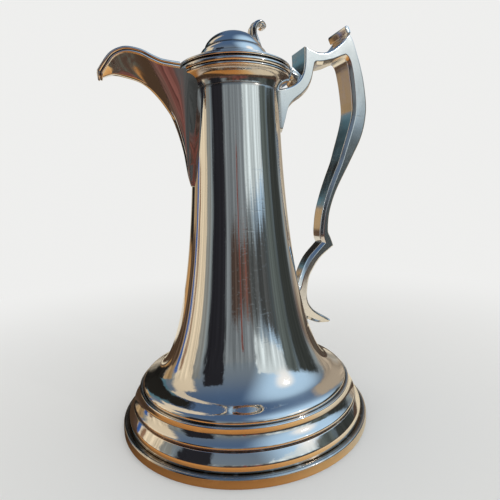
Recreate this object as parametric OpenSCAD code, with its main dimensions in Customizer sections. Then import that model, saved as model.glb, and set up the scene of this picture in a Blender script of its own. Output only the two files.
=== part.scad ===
// Lidded ewer of spun and cast plated metal: flared barrel on a stepped foot, open beak spout,
// squared scroll handle and a domed lid on a hinge. The spout points to -X and the handle to +X.
// The origin is the middle of the foot, on the surface that the ewer stands on.

/* [Foot] */
// Outer radius of the upright foot flange
foot_r = 92; // [84:1:104]
// Height of the upright foot flange
flange_h = 6.3; // [4.5:0.1:9]
// Width of the foot flange under the lower ring
flange_t = 2.3; // [1.6:0.1:5.4]
// Height of the ledge that carries the body
foot_h = 28.6; // [25:0.2:36]
// Inset of the lower convex ring from the flange
ring_in = 4.3; // [3.4:0.1:5.2]
// Inset of the upper ring's nose from the lower ring
ring_step = 3.7; // [2.6:0.1:5.6]
// Inset of the top fillet from the upper ring's nose
band_step = 4.3; // [3.2:0.1:5.4]
// Height of the fillet under the ledge
band_h = 3.1; // [1.6:0.1:4]
// Height of the dividing step between the rings
step_h = 0.6; // [0.4:0.1:1.6]
// Wall of the spun foot
foot_wall = 1.4; // [1:0.1:2]
// Width of the ledge that the body leaves bare
ledge_w = 2.5; // [1.5:0.1:4]

/* [Body] */
// Height of the top of the barrel
body_h = 240; // [225:1:260]
// Outer radius of the barrel at its top
neck_r = 32.4; // [30:0.2:35]
// Wall of the spun body
wall = 1.2; // [0.9:0.1:1.6]
// Length over which the barrel stays upright below its top
barrel_pull = 69; // [55:1:85]
// Inset of the flare's end from the edge of the body
flare_in = 9.5; // [7:0.5:13]
// Height of the flare's end above the edge of the body
flare_up = 7.5; // [5.5:0.5:10]
// Slope of the flare's end
flare_angle = 25.6; // [20:0.2:35]
// Length over which the flare keeps that slope
flare_pull = 28.6; // [22:0.2:34]
// Thickness of the disc that closes the vessel
plate_t = 1.2; // [0.8:0.1:2]

/* [Mouth] */
// Height of the mouth ring above the barrel
mouth_h = 14.3; // [13:0.1:17]
// Outer radius of the mouth ring
mouth_r = 41.8; // [40:0.2:44]
// Radius of the upper bead of the mouth ring
bead_hi = 1.6; // [1.2:0.1:1.8]
// Radius of the lower bead of the mouth ring
bead_lo = 1.3; // [0.9:0.1:1.6]

/* [Spout] */
// Reach of the lip from the axis
spout_reach = 93.8; // [88:0.2:100]
// Half width of the spout at the mouth
spout_half = 11.8; // [10:0.1:13]
// Half width of the rounded keel
keel_half = 2.3; // [1.8:0.1:3]
// Drop of the keel's lower end below the top of the barrel
spout_drop = 67; // [58:1:76]
// Wall of the spout
spout_wall = 1.2; // [0.9:0.1:1.5]
// Height of the edge moulding
edge_h = 4; // [3:0.1:4.6]
// Overhang of the edge moulding outside the wall
edge_over = 1.5; // [0.8:0.1:2.2]
// Half width of the hole in the body behind the spout
port_half = 4.4; // [3.5:0.1:5]

/* [Handle] */
// Width of the handle level with the barrel's top
arm_w = 20.9; // [18:0.1:24]
// Width of the handle at the heel
heel_w = 14.5; // [12:0.1:17]
// Reach of the grip's outer face from the axis
grip_reach = 113.4; // [107:0.2:120]
// Thickness of the grip at its fullest
grip_t = 13.4; // [10.5:0.1:16]
// Thickness of the grip just above the heel
heel_t = 7.4; // [5.6:0.1:9]
// Height of the heel above the foot's ledge
heel_up = 93.5; // [85:0.5:102]
// Chamfer along the upper and outer edges of the handle
chamfer_out = 1.2; // [0.6:0.1:1.6]
// Chamfer along the lower and inner edges of the handle
chamfer_in = 2.4; // [1.2:0.1:2.8]
// Radius of the bar across the crest
roll_r = 1.9; // [1.5:0.1:2.4]
// Height of that bar between its two roundings
roll_rise = 3.2; // [2:0.1:5]
// Lean of that bar towards the lid
roll_lean = 27; // [10:1:32]
// Overhang of that bar past each side of the crest
roll_over = 0.2; // [0:0.1:1.5]

/* [Lid] */
// Gap between the closed lid and the mouth ring
lid_gap = 0.4; // [0.3:0.05:0.8]
// Outer radius of the lid's edge moulding
lid_r = 41.5; // [40:0.1:42.5]
// Height of the lid's edge moulding
lid_edge = 2.6; // [2:0.1:3.4]
// Wall of the spun lid
lid_wall = 1.1; // [0.9:0.1:1.5]
// Rise of the lid's brim
brim_h = 2.3; // [1.8:0.1:3.2]
// Height of the fillets at the foot of the hollow sweep
fillet_h = 1.6; // [1:0.1:2.2]
// Radius at the foot of the hollow sweep under the tier
sweep_r = 32.4; // [30:0.2:33.4]
// Rise of the hollow sweep and the tier
sweep_h = 9.2; // [7:0.2:11]
// Radius of the convex tier under the dome
tier_r = 25; // [24:0.2:27]
// Radius of the dome
dome_r = 21.6; // [19:0.2:23.4]
// Rise of the dome
dome_h = 13.4; // [11:0.2:16]
// Depth of the ring that drops into the mouth
bezel_h = 4.2; // [3:0.1:5]
// Wall of that ring
bezel_t = 1.1; // [0.8:0.1:1.5]
// Radial clearance of that ring in the mouth
bezel_gap = 1.5; // [1.2:0.1:2]
// Height of the thumbpiece above the dome
thumb_h = 10.5; // [9:0.5:13]
// Half width of the thumbpiece
thumb_half = 6.6; // [5:0.1:7.4]
// Thickness of the thumbpiece
thumb_t = 4.6; // [3.4:0.1:5.4]

/* [Hinge] */
// Distance of the hinge axis outside the mouth ring
hinge_out = 2.4; // [2.2:0.1:3.4]
// Height of the hinge axis above the mouth ring
hinge_up = 5.6; // [5:0.1:6.6]
// Radius of the hinge pin
pin_r = 1.1; // [0.8:0.05:1.3]
// Outer radius of the knuckles
knuckle_r = 2.5; // [2.1:0.1:2.8]
// Overall width of the hinge
hinge_w = 16; // [13:0.5:17]
// Width of the middle knuckle
middle_w = 6.4; // [4:0.2:8]
// Gap between neighbouring knuckles
knuckle_gap = 0.3; // [0.2:0.05:0.5]
// Radial clearance of the pin in the middle knuckle
pin_gap = 0.05; // [0.02:0.01:0.1]

/* [Hidden] */
$fn = 120;

// Slack between soldered pieces whose curved faces run side by side
seam = 0.05;
far = 400;

// Levels and radii that several pieces share
mouth_z = body_h + mouth_h;
lid_z = mouth_z + lid_gap;
cover_z = lid_z + lid_edge;
ring2_r = foot_r - ring_in;
ring1_r = ring2_r - ring_step;
band_r = ring1_r - band_step;
edge_r = band_r - ledge_w;
hinge_x = mouth_r + hinge_out;
hinge_z = mouth_z + hinge_up;
heel_z = foot_h + heel_up;

// The lines of the spout and handle are drawn for a barrel 240 high with the heel 93.5 above the ledge.
// These ratios stretch them above the barrel's top, between it and the heel, and below the heel.
rise = body_h/240;
span = (body_h - heel_z)/117.9;
drop = heel_up/93.5;

// Point on a cubic curve, the curve itself, and a smooth line through given points
function cubic(a, b, c, d, t) = a*pow(1 - t, 3) + 3*b*t*pow(1 - t, 2) + 3*c*t*t*(1 - t) + d*t*t*t;
function curve(a, b, c, d, n = 12) = [for (i = [0:n]) cubic(a, b, c, d, i/n)];
function at(p, i) = p[max(0, min(len(p) - 1, i))];
function knot(p, i, t) = cubic(p[i], p[i] + (at(p, i + 1) - at(p, i - 1))/6,
                               p[i + 1] - (at(p, i + 2) - p[i])/6, p[i + 1], t);
function smooth(p, n = 4) = concat([for (i = [0:len(p) - 2], j = [0:n - 1]) knot(p, i, j/n)], [p[len(p) - 1]]);
function along(p, s) = let (u = s*(len(p) - 1), i = min(floor(u), len(p) - 2)) knot(p, i, u - i);
function turn(p, i) = let (v = at(p, i + 1) - at(p, i - 1)) v/norm(v);
// Line moved sideways, to the right of its run
function beside(p, d) = [for (i = [0:len(p) - 1]) let (u = turn(p, i)) p[i] + d*[u[1], -u[0]]];
function back(p) = [for (i = [len(p) - 1:-1:0]) p[i]];
// Value of a line at a height, for lines that run downwards
function radius(p, z, i = 0) = i > len(p) - 3 || p[i + 1][1] <= z
    ? p[i][0] + (p[i + 1][0] - p[i][0])*(p[i][1] - z)/(p[i][1] - p[i + 1][1])
    : radius(p, z, i + 1);

// Profiles of the spun pieces, as radius and height, each running downwards
flare = [edge_r - flare_in, foot_h + flare_up];
barrel_line = curve([neck_r, body_h], [neck_r, body_h - barrel_pull],
                    flare + flare_pull*[-cos(flare_angle), sin(flare_angle)], flare, 44);
edge_line = curve(flare, flare + 0.5*flare_in*[cos(flare_angle), -sin(flare_angle)],
                  [edge_r, foot_h + 0.5*flare_up], [edge_r, foot_h], 12);
body_line = concat(barrel_line, [for (i = [1:12]) edge_line[i]]);
function body_r(z) = radius(body_line, z);

bead_hi_z = mouth_z - bead_hi;
bead_lo_z = bead_hi_z - bead_hi - bead_lo + 0.3;
bead_lo_x = mouth_r - 1.1 - bead_lo;
function bead(x, z, r, from, to, n = 8) = [for (i = [0:n]) let (a = from + (to - from)*i/n) [x + r*cos(a), z + r*sin(a)]];
mouth_line = concat(bead(mouth_r - bead_hi, bead_hi_z, bead_hi, 90, -60),
                    bead(bead_lo_x, bead_lo_z, bead_lo, 50, -70),
                    curve([bead_lo_x - 0.6, bead_lo_z - bead_lo], [neck_r + 3.2, bead_lo_z - bead_lo - 0.8],
                          [neck_r + 0.05, body_h + 5.5], [neck_r, body_h], 12));
outer_line = concat(mouth_line, [for (i = [1:len(body_line) - 1]) body_line[i]]);

// Solid inside the outer faces of the mouth, barrel and flare between two heights, which trims what is soldered on
module core(low, high) {
    line = [for (p = outer_line) if (p[1] > low && p[1] < high) p + [seam, 0]];
    rotate_extrude() polygon(concat([[0, line[0][1]]], line, [[0, line[len(line) - 1][1]]]));
}

module body_shell() {
    inner = [for (p = beside(body_line, wall)) [p[0], max(p[1], foot_h)]];
    color("#d9dadb") difference() {
        rotate_extrude() polygon(concat(body_line, back(inner)));
        translate([-neck_r - 4, 0, body_h]) rotate([90, 0, 90]) linear_extrude(neck_r)
            polygon(concat(port_line(1), back(port_line(-1))));
    }
}

// One side of the pear-shaped hole behind the spout, as width and height below the barrel's top
port_top = -4;
port_low = -40;
function port_line(side) = [for (i = [0:12]) let (t = i/12) [side*port_half*sin(90*sqrt(t))*(0.45 + 0.55*t)
    *(t > 0.8 ? sqrt(1 - pow((t - 0.8)/0.2, 2)) : 1), port_low + (port_top - port_low)*t]];

module base_plate() {
    color("#c9cacc") translate([0, 0, foot_h]) cylinder(r = edge_r - wall - 0.6, h = plate_t);
}

// Convex ring between two radii, steeper as it goes down, and a hollow one that starts upright
function ovolo(r0, z0, r1, z1) = curve([r0, z0], [r0 + 0.41*(r1 - r0), z0 - 0.19*(z0 - z1)],
                                       [r0 + 0.97*(r1 - r0), z0 - 0.64*(z0 - z1)], [r1, z1], 9);
function cavetto(r0, z0, r1, z1) = curve([r0, z0], [r0 + 0.01*(r1 - r0), z0 - 0.42*(z0 - z1)],
                                         [r1 - 0.35*(r1 - r0), z1 + 0.21*(z0 - z1)], [r1, z1], 10);
ring1_top = foot_h - band_h;
ring1_low = flange_h + 0.56*(ring1_top - flange_h);
lip_r = 0.95;
ring1_lip = bead(ring1_r - lip_r, ring1_low + lip_r, lip_r, 45, -60, 6);
foot_line = concat([[edge_r - 9, foot_h], [band_r - 0.8, foot_h], [band_r - 0.2, foot_h - 0.3], [band_r, foot_h - 0.8]],
                   cavetto(band_r, ring1_top, ring1_lip[0][0], ring1_lip[0][1]), [for (i = [1:6]) ring1_lip[i]],
                   [[ring1_r - 0.5, ring1_low - step_h]],
                   ovolo(ring1_r + 0.4, ring1_low - step_h - 0.1, ring2_r, flange_h + 0.9),
                   [[ring2_r - 0.5, flange_h + 0.5], [ring2_r - 0.5, flange_h]]);
foot_inside = [[edge_r - 9, foot_h - foot_wall], [band_r - foot_wall - 0.6, foot_h - foot_wall],
               [band_r - foot_wall, ring1_top - 0.6], [ring1_r - foot_wall - 0.9, ring1_low + 1],
               [ring1_r - foot_wall - 0.4, ring1_low - step_h - 0.2], [ring2_r - foot_wall - 1.1, flange_h + 2],
               [ring2_r - foot_wall - 0.5, flange_h]];

module foot() {
    color("#d2d3d5") rotate_extrude() polygon(concat(foot_line, back(foot_inside)));
}

module foot_wire() {
    round = 1.1;
    color("#cfd0d2") rotate_extrude() polygon(concat([[ring2_r - flange_t, 0], [foot_r, 0]],
        bead(foot_r - round, flange_h - round, round, 0, 90), [[ring2_r - flange_t, flange_h]]));
}

mouth_in = mouth_r - 2*bead_hi - 0.6;
module mouth_ring() {
    inner = concat([[mouth_in, mouth_z], [mouth_in, bead_lo_z - bead_lo + 1.6]],
                   curve([mouth_in, bead_lo_z - bead_lo + 1.4], [mouth_in - 1.6, bead_lo_z - bead_lo - 1],
                         [neck_r - wall - 0.4, body_h + 5], [neck_r - wall, body_h], 8));
    color("#d6d7d9") rotate_extrude() polygon(concat(mouth_line, back(inner)));
}

// Spout: lines of its edge (seen from the side, with half widths) and of its keel, from the mouth to the lip
nose = 2.4*rise;
reach = spout_reach - nose - mouth_r;
edge_side = [for (p = [[-0.1, -3.3], [0.03, -3.1], [0.165, -2.7], [0.29, -1.9], [0.415, 0.4], [0.536, 3.1], [0.679, 4.3],
                       [0.776, 3.2], [0.859, 0.6], [0.931, -4.1], [0.995, -8.8]]) [-mouth_r - reach*p[0], mouth_z + rise*p[1]]];
edge_width = [for (w = [1, 0.99, 0.97, 0.93, 0.87, 0.8, 0.69, 0.6, 0.5, 0.38, 0.19]) spout_half*w];
keel_z = body_h - spout_drop;
keel_x = neck_r + 5*rise;
keel_side = [for (p = [[0, 0], [0.015, 0.104], [0.028, 0.252], [0.054, 0.387], [0.096, 0.542], [0.153, 0.674], [0.242, 0.794],
                       [0.329, 0.891], [0.447, 0.988], [0.566, 1.045], [0.737, 1.079], [0.871, 1.089], [0.996, 1.054]])
             [-keel_x - (spout_reach - nose - keel_x)*p[0], keel_z + spout_drop*p[1]]];
spout_steps = 26;
side_steps = 7;
function edge_mid(s) = along(edge_side, s);
function edge_half(s) = along(edge_width, s);
function keel(s) = along(keel_side, s);
function keel_in(s) = let (v = keel(min(1, s + 0.01)) - keel(max(0, s - 0.01)), u = v/norm(v)) keel(s) + spout_wall*[-u[1], u[0]]*-1;
// Half width of the spout between the keel (t = 0) and the edge (t = 1): a round nose, then a hollow side
function side_half(s, t) = let (w = edge_half(s), k = min(keel_half, 0.55*w), q = min(1, t/0.1))
    (w - k)*pow(t, 1.35) + k*sqrt(1 - pow(1 - q, 2));
function spread(i) = pow(i/side_steps, 1.7);
function spout_point(s, t, y, root) = let (m = root > 0 ? keel_in(s) : keel(s), p = m + (edge_mid(s) - m)*t) [p[0], y, p[1]];
function spout_ring(s) = concat(
    [for (i = [side_steps:-1:1]) spout_point(s, spread(i), -side_half(s, spread(i)), 0)],
    [for (i = [0:side_steps]) spout_point(s, spread(i), side_half(s, spread(i)), 0)],
    [for (i = [side_steps:-1:1]) spout_point(s, spread(i), max(0.12, side_half(s, spread(i)) - spout_wall), 1)],
    [spout_point(s, 0, 0, 1)],
    [for (i = [1:side_steps]) spout_point(s, spread(i), -max(0.12, side_half(s, spread(i)) - spout_wall), 1)]);

// Closed skin over rings of equal length, each end closed by a strip between the two halves of its ring
module loft(rings) {
    n = len(rings[0]);
    m = len(rings);
    e = (m - 1)*n;
    polyhedron(points = [for (r = rings) each r], faces = concat(
        [for (j = [0:m - 2], i = [0:n - 1], h = [0, 1]) h == 0
            ? [j*n + i, j*n + (i + 1)%n, (j + 1)*n + i]
            : [j*n + (i + 1)%n, (j + 1)*n + (i + 1)%n, (j + 1)*n + i]],
        [for (i = [0:n/2 - 2], h = [0, 1]) h == 0 ? [i, n - 2 - i, i + 1] : [i, n - 1 - i, n - 2 - i]],
        [for (i = [0:n/2 - 2], h = [0, 1]) h == 0 ? [e + i, e + i + 1, e + n - 2 - i] : [e + i, e + n - 2 - i, e + n - 1 - i]]));
}

module spout() {
    first = spout_ring(0);
    sunk = [for (p = first) p + [9, 0, 0]];
    color("#cfc9c4") difference() {
        loft(concat([sunk], [for (i = [0:spout_steps]) spout_ring(i/spout_steps)]));
        core(keel_z - 20*rise, mouth_z);
    }
}

// Section of the edge moulding: flat where it sits on the wall, with a thin bead below a fuller one
bead_under = 0.2*edge_h;
bead_over = 0.28*edge_h;
edge_section = concat([[-spout_wall, 0]], bead(edge_over - 0.15 - bead_under, bead_under, bead_under, -90, 60, 4),
    bead(edge_over - bead_over, edge_h - bead_over, bead_over, -60, 90, 5), [[0.7 - spout_wall, edge_h], [-spout_wall, edge_h - 0.7]]);
function edge_ring(s, side) = let (m = edge_mid(s), v = edge_mid(min(1, s + 0.01)) - edge_mid(max(0, s - 0.01)), u = v/norm(v))
    [for (q = edge_section) [m[0] + u[1]*q[1], side*max(edge_half(s) + q[0], -0.15), m[1] - u[0]*q[1]]];
function nose_ring(side) = let (m = edge_mid(1) + rise*[0.2, -2.6], u = [0.1, -0.99])
    [for (q = edge_section) [m[0] + u[1]*q[1]*0.75, side*max(0.3*q[0], -0.15), m[1] - u[0]*q[1]*0.75]];

module edge_half_wire(side) {
    rings = concat([[for (p = edge_ring(0, side)) p + [8, 0, 0]]],
                   [for (i = [0:spout_steps]) edge_ring(i/spout_steps, side)], [nose_ring(side)]);
    loft(side > 0 ? rings : [for (r = rings) back(r)]);
}

module spout_wire() {
    color("#dedbd6") difference() {
        union() {
            edge_half_wire(1);
            edge_half_wire(-1);
        }
        core(body_h, mouth_z + 1);
        translate([0, 0, body_h + 4]) cylinder(r = mouth_r + 0.3, h = mouth_h + edge_h);
    }
}

// Half width of the handle, which narrows evenly towards the tail
function handle_half(z) = (heel_w + (arm_w - heel_w)*(z - heel_z)/(body_h - heel_z))/2;

// Bar between an outer and an inner line seen from the side, as wide as the handle is there, with chamfered edges
function bar_ring(o, i) = let (d = norm(i - o), u = (i - o)/d, a = min(chamfer_out, 0.3*d), b = min(chamfer_in, 0.4*d),
                               p = o + a*u, q = i - b*u)
    [[o[0], -handle_half(o[1]) + a, o[1]], [p[0], -handle_half(p[1]), p[1]],
     [q[0], -handle_half(q[1]), q[1]], [i[0], -handle_half(i[1]) + b, i[1]],
     [i[0], handle_half(i[1]) - b, i[1]], [q[0], handle_half(q[1]), q[1]],
     [p[0], handle_half(p[1]), p[1]], [o[0], handle_half(o[1]) - a, o[1]]];
module bar(outer, inner) {
    loft([for (k = [0:len(outer) - 1]) bar_ring(outer[k], inner[k])]);
}

// Points set out from the top of the barrel, from the grip's faces, from the heel and from the lower barrel
function top(x, z) = [neck_r, body_h] + rise*[x, z];
function face(x, z) = [grip_reach, body_h] + rise*[x, z];
function palm(x, z) = [grip_reach - grip_t, body_h] + rise*[x, z];
heel_x = grip_reach - 32.7*rise;
function heel(x, z) = [heel_x + rise*x, heel_z + (z > 0 ? span : drop)*z];
function neck(x, z) = [heel_x - heel_t + rise*(x - 5), heel_z + (z > 0 ? span : drop)*z];
tail_x = body_r(foot_h + 46*drop);
function tail(x, z) = [tail_x + rise*x, foot_h + drop*z];

seam_top = top(37.6, 35.2);
seam_low = top(38.8, 26.4);
horn = top(22, 37.9);
arm_upper = smooth([top(-8, 4.6), top(0.6, 5), top(4.5, 5.7), top(8.4, 6.9), top(13.2, 9.3), top(17.8, 13.5), top(20.7, 19.2),
                    top(21.9, 26), top(22.1, 32.5), horn], 3);
arm_lower = smooth([top(-8, -27.5), top(1.8, -27), top(4.2, -18.6), top(6.6, -10.4), top(11.2, -4.8), top(19, 0.7),
                    top(24.6, 6.4), top(28.2, 13), top(30, 19.4), top(31.4, 24.6)], 3);
saddle = smooth([horn, top(25.8, 36.6), top(31.4, 35.3), seam_top], 3);
saddle_low = smooth([top(31.4, 24.6), top(33, 25.8), top(35.8, 26), seam_low], 3);

module handle_arm() {
    color("#dfe3e6") difference() {
        bar(concat(arm_upper, [for (i = [1:9]) saddle[i]]), concat(arm_lower, [for (i = [1:9]) saddle_low[i]]));
        core(keel_z, mouth_z);
    }
}

// The crest ends in a narrow flat for the bar, which leans towards the lid
lean = [-sin(roll_lean), cos(roll_lean)];
crest = face(-18.4, 52);
crest_half = 1.1;
crest_front = crest - crest_half*[lean[1], -lean[0]];
crest_back = crest + crest_half*[lean[1], -lean[0]];
grip_top = smooth([seam_top, top(41.8, 36.1), top(47.1, 38.6), face(-28.8, 42.1), face(-23.4, 46.5), crest_front], 3);
grip_under = smooth([seam_low, top(42.6, 27.5), top(47.6, 29), palm(-15.4, 31), palm(-11.6, 32.8), palm(-9, 33.8)], 3);
grip_outer = smooth([crest_back, face(-14, 47.8), face(-10.6, 40), face(-6.9, 30.8), face(-3.6, 20.2), face(-1.3, 9), face(0, -2),
                     face(-0.5, -11.5), face(-2.6, -21.6), face(-6.5, -31.6), heel(20.3, 75.9), heel(14.4, 65.7), heel(8.5, 55.9),
                     heel(3, 46.1), heel(-1.2, 36.3), heel(-3.9, 27.3), heel(-5, 18.9), heel(-5, 11.9), heel(-2.7, 6.9), heel(0, 0)], 3);
grip_inner = smooth([palm(-8.6, 33.8), palm(-6.6, 32.6), palm(-4.8, 29.6), palm(-3.4, 24.4), palm(-1.9, 16.2), palm(-0.8, 7.4),
                     palm(0, -2.2), palm(-0.4, -10), palm(-2.6, -18.6), palm(-6.1, -29), palm(-8.8, -36.5), neck(18.9, 70.1),
                     neck(14, 59.5), neck(9.4, 49.1), neck(5.3, 38.3), neck(2.3, 28.3), neck(0.7, 18.9), neck(0, 11.5),
                     neck(0.4, 6.9), neck(1.8, 3.7)], 3);

module handle_grip() {
    color("#d4dadf") bar(concat(grip_top, grip_outer), concat(grip_under, grip_inner));
}

module handle_roll() {
    roll_w = 2*(handle_half(crest[1]) + roll_over);
    seat = sqrt(roll_r*roll_r - crest_half*crest_half);
    color("#e3e6e8") translate([crest[0], roll_w/2, crest[1]]) rotate([90, -roll_lean, 0]) linear_extrude(roll_w) difference() {
        union() {
            translate([0, seat]) circle(r = roll_r, $fn = 48);
            translate([0, seat + roll_rise]) circle(r = roll_r, $fn = 48);
            translate([-roll_r, seat]) square([2*roll_r, roll_rise]);
        }
        translate([-2*roll_r, -2*roll_r]) square([4*roll_r, 2*roll_r]);
    }
}

scroll_outer = smooth([heel(0, 0), heel(-5.4, -3.5), heel(-11.5, -7.9), heel(-16.1, -12.5), heel(-19.4, -17.1), tail(10.2, 71.7),
                       tail(8.3, 66.9), tail(7, 59.9), tail(6.8, 52.9), tail(8.4, 47.2), tail(12.6, 41.6), tail(17.6, 37.8),
                       tail(23, 34.5), tail(28.9, 30.6)], 3);
scroll_inner = smooth([neck(1.8, 3.7), neck(-2.2, 0.1), neck(-6.2, -3.4), neck(-10.8, -8.1), neck(-14.2, -13.1), tail(3.1, 75),
                       tail(0.6, 69), tail(-2, 61.4), tail(-6.4, 53.4), tail(-6.4, 41.4), tail(2.6, 36.6), tail(10.2, 32.4),
                       tail(18.4, 28.9), tail(27.4, 28.3)], 3);

module handle_scroll() {
    color("#cdd2d6") difference() {
        bar(scroll_outer, scroll_inner);
        core(foot_h + 4, heel_z + 50*span);
    }
}

// Hinge: knuckles along Y, the middle one on the lid and the outer two on a strap from the handle
outer_w = (hinge_w - middle_w)/2 - knuckle_gap;
module knuckle(y, w, bore) {
    translate([hinge_x, y + w, hinge_z]) rotate([90, 0, 0]) difference() {
        cylinder(r = knuckle_r, h = w, $fn = 48);
        translate([0, 0, -1]) cylinder(r = bore, h = w + 2, $fn = 48);
    }
}

function is_between(p, a, b) = p[0] > a && p[0] < b;
strap_foot = [for (p = arm_upper) if (is_between(p, hinge_x + 4.4, hinge_x + 8.4)) p];
module fixed_leaf() {
    color("#e2e4e6") union() {
        for (side = [-1, 1]) knuckle(side > 0 ? middle_w/2 + knuckle_gap : -hinge_w/2, outer_w, pin_r);
        difference() {
            translate([0, hinge_w/2, 0]) rotate([90, 0, 0]) linear_extrude(hinge_w)
                polygon(concat(strap_foot, [[hinge_x + 0.76*knuckle_r, hinge_z + 0.64*knuckle_r], [hinge_x, hinge_z - 0.98*knuckle_r]]));
            translate([hinge_x, hinge_w, hinge_z]) rotate([90, 0, 0]) cylinder(r = knuckle_r - 0.2, h = 2*hinge_w, $fn = 48);
            translate([hinge_x - knuckle_r - 1, -middle_w/2 - knuckle_gap, hinge_z - knuckle_r - 1.2])
                cube([2*knuckle_r + 2.2, middle_w + 2*knuckle_gap, 2*knuckle_r + 2.4]);
        }
    }
}

module hinge_pin() {
    color("#b9bcc0") translate([hinge_x, hinge_w/2, hinge_z]) rotate([90, 0, 0]) cylinder(r = pin_r, h = hinge_w, $fn = 48);
}

// Lid profile, from the middle of the dome down to the edge
sweep_low = cover_z + brim_h + fillet_h;
sweep_top = sweep_low + sweep_h;
tier_z = sweep_low + 0.27*sweep_h;
dome_z = sweep_top + 0.4;
lid_top = dome_z + dome_h;
brim_r = lid_r - 1.2;
cover_line = concat(curve([0.01, lid_top], [0.4*dome_r, lid_top], [0.93*dome_r, dome_z + 0.6*dome_h], [dome_r, dome_z], 14),
    curve([dome_r + 0.4, sweep_top], [0.4*dome_r + 0.6*tier_r, sweep_top - 0.05*sweep_h], [tier_r, sweep_top - 0.32*sweep_h],
          [tier_r, tier_z], 8),
    curve([tier_r + 0.5, tier_z - 0.3], [tier_r + 1, sweep_low + 0.09*sweep_h], [sweep_r - 3.4, sweep_low + 0.06*sweep_h],
          [sweep_r, sweep_low], 6),
    [[sweep_r + 0.8, sweep_low], [sweep_r + 0.8, sweep_low - 0.5*fillet_h], [sweep_r + 1.6, sweep_low - 0.5*fillet_h]],
    curve([sweep_r + 1.6, sweep_low - fillet_h], [sweep_r + 3.6, cover_z + 0.48*brim_h], [brim_r - 2.1, cover_z + 0.09*brim_h],
          [brim_r, cover_z], 8));
cover_inside = concat(curve([0.01, lid_top - lid_wall], [0.38*dome_r, lid_top - lid_wall],
                            [0.93*dome_r - lid_wall, dome_z + 0.55*dome_h], [dome_r - lid_wall, dome_z - 0.2], 12),
    curve([dome_r - 0.5*lid_wall, sweep_top - 0.8*lid_wall], [0.4*dome_r + 0.6*tier_r - 0.7*lid_wall, sweep_top - 0.05*sweep_h - 0.9*lid_wall],
          [tier_r - lid_wall, sweep_top - 0.32*sweep_h - 0.4*lid_wall], [tier_r - lid_wall, tier_z], 6),
    curve([tier_r - 0.7*lid_wall, tier_z - 0.9*lid_wall], [tier_r + 0.6*lid_wall, sweep_low + 0.09*sweep_h - lid_wall],
          [sweep_r - 3.4, sweep_low + 0.06*sweep_h - lid_wall], [sweep_r - 0.55*lid_wall, sweep_low - 0.9*lid_wall], 6),
    curve([sweep_r + 1, sweep_low - fillet_h - 0.9*lid_wall], [sweep_r + 2.8, cover_z + 0.48*brim_h - 0.9*lid_wall],
          [brim_r - 3.6, cover_z], [brim_r - 1.8, cover_z], 6));

module lid_core(slack = 0) {
    rotate_extrude() polygon(concat([[0, lid_top + slack]], [for (p = cover_line) p + [slack, 0]], [[0, cover_z]]));
}

module lid_cover() {
    color("#dcdee0") rotate_extrude() polygon(concat([[0, lid_top]], cover_line, back(cover_inside), [[0, lid_top - lid_wall]]));
}

bezel_r = mouth_in - bezel_gap;
lid_bead = 0.36*lid_edge;
ledge_t = 1.2;
module lid_wire() {
    color("#e0e1e2") rotate_extrude() polygon(concat([[bezel_r + 0.1, lid_z], [lid_r - 1.9, lid_z], [lid_r - 1.9, lid_z + 0.5]],
        bead(lid_r - lid_bead, cover_z - lid_bead - 0.1, lid_bead, -80, 80), [[brim_r + 0.2, cover_z], [brim_r - 2, cover_z]],
        [[brim_r - 2, lid_z + ledge_t], [bezel_r + 0.1, lid_z + ledge_t]]));
}

module lid_bezel() {
    color("#c4c6c9") rotate_extrude() polygon([[bezel_r - bezel_t, lid_z + ledge_t + 1], [bezel_r - bezel_t, lid_z - bezel_h],
        [bezel_r, lid_z - bezel_h], [bezel_r, lid_z + ledge_t], [bezel_r + 1.5, lid_z + ledge_t], [bezel_r + 1.5, lid_z + ledge_t + 1]]);
}

module lid_leaf() {
    color("#e6e8ea") union() {
        knuckle(-middle_w/2, middle_w, pin_r + pin_gap);
        difference() {
            translate([0, middle_w/2, 0]) rotate([90, 0, 0]) linear_extrude(middle_w)
                polygon([[brim_r - 8, cover_z], [brim_r - 0.2, cover_z], [hinge_x - 0.4, hinge_z - knuckle_r*0.95],
                         [hinge_x - 0.2, hinge_z + knuckle_r*0.96], [brim_r - 3, cover_z + 2.6], [brim_r - 8, cover_z + 2.6]]);
            translate([hinge_x, middle_w, hinge_z]) rotate([90, 0, 0]) cylinder(r = knuckle_r - 0.2, h = 2*middle_w, $fn = 48);
            lid_core(seam);
        }
    }
}

// Thumbpiece: leaf that leans back, curls over towards the handle and is fluted along its front
leaf_line = [for (p = [[-1.4, -1.02], [-3.6, -0.47], [-5.6, -0.02], [-6.2, 0.38], [-4.9, 0.72], [-2.1, 0.94], [0.9, 0.97],
                       [2.7, 0.84], [2.3, 0.72]]) [dome_r + p[0], lid_top + thumb_h*p[1]]];
leaf_width = [0.72, 0.76, 0.86, 0.96, 1, 1, 0.94, 0.84, 0.7];
leaf_steps = 18;
function leaf_ring(s) = let (m = along(leaf_line, s), v = along(leaf_line, min(1, s + 0.01)) - along(leaf_line, max(0, s - 0.01)),
                             u = v/norm(v), w = thumb_half*along(leaf_width, s), t = thumb_t*(1 - 0.3*s))
    [for (i = [0:15]) let (a = i*22.5, y = w*cos(a), flute = 0.78 + 0.22*cos(3*180*y/w), d = 0.5*t*sin(a)*(sin(a) > 0 ? flute : 1))
     [m[0] - u[1]*d, y, m[1] + u[0]*d]];

module thumbpiece() {
    color("#d8d9d6") difference() {
        loft([for (i = [leaf_steps:-1:0]) leaf_ring(i/leaf_steps)]);
        lid_core(seam);
    }
}

body_shell();
base_plate();
foot();
foot_wire();
mouth_ring();
spout();
spout_wire();
handle_arm();
handle_grip();
handle_roll();
handle_scroll();
fixed_leaf();
hinge_pin();
lid_cover();
lid_wire();
lid_bezel();
lid_leaf();
thumbpiece();
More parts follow.
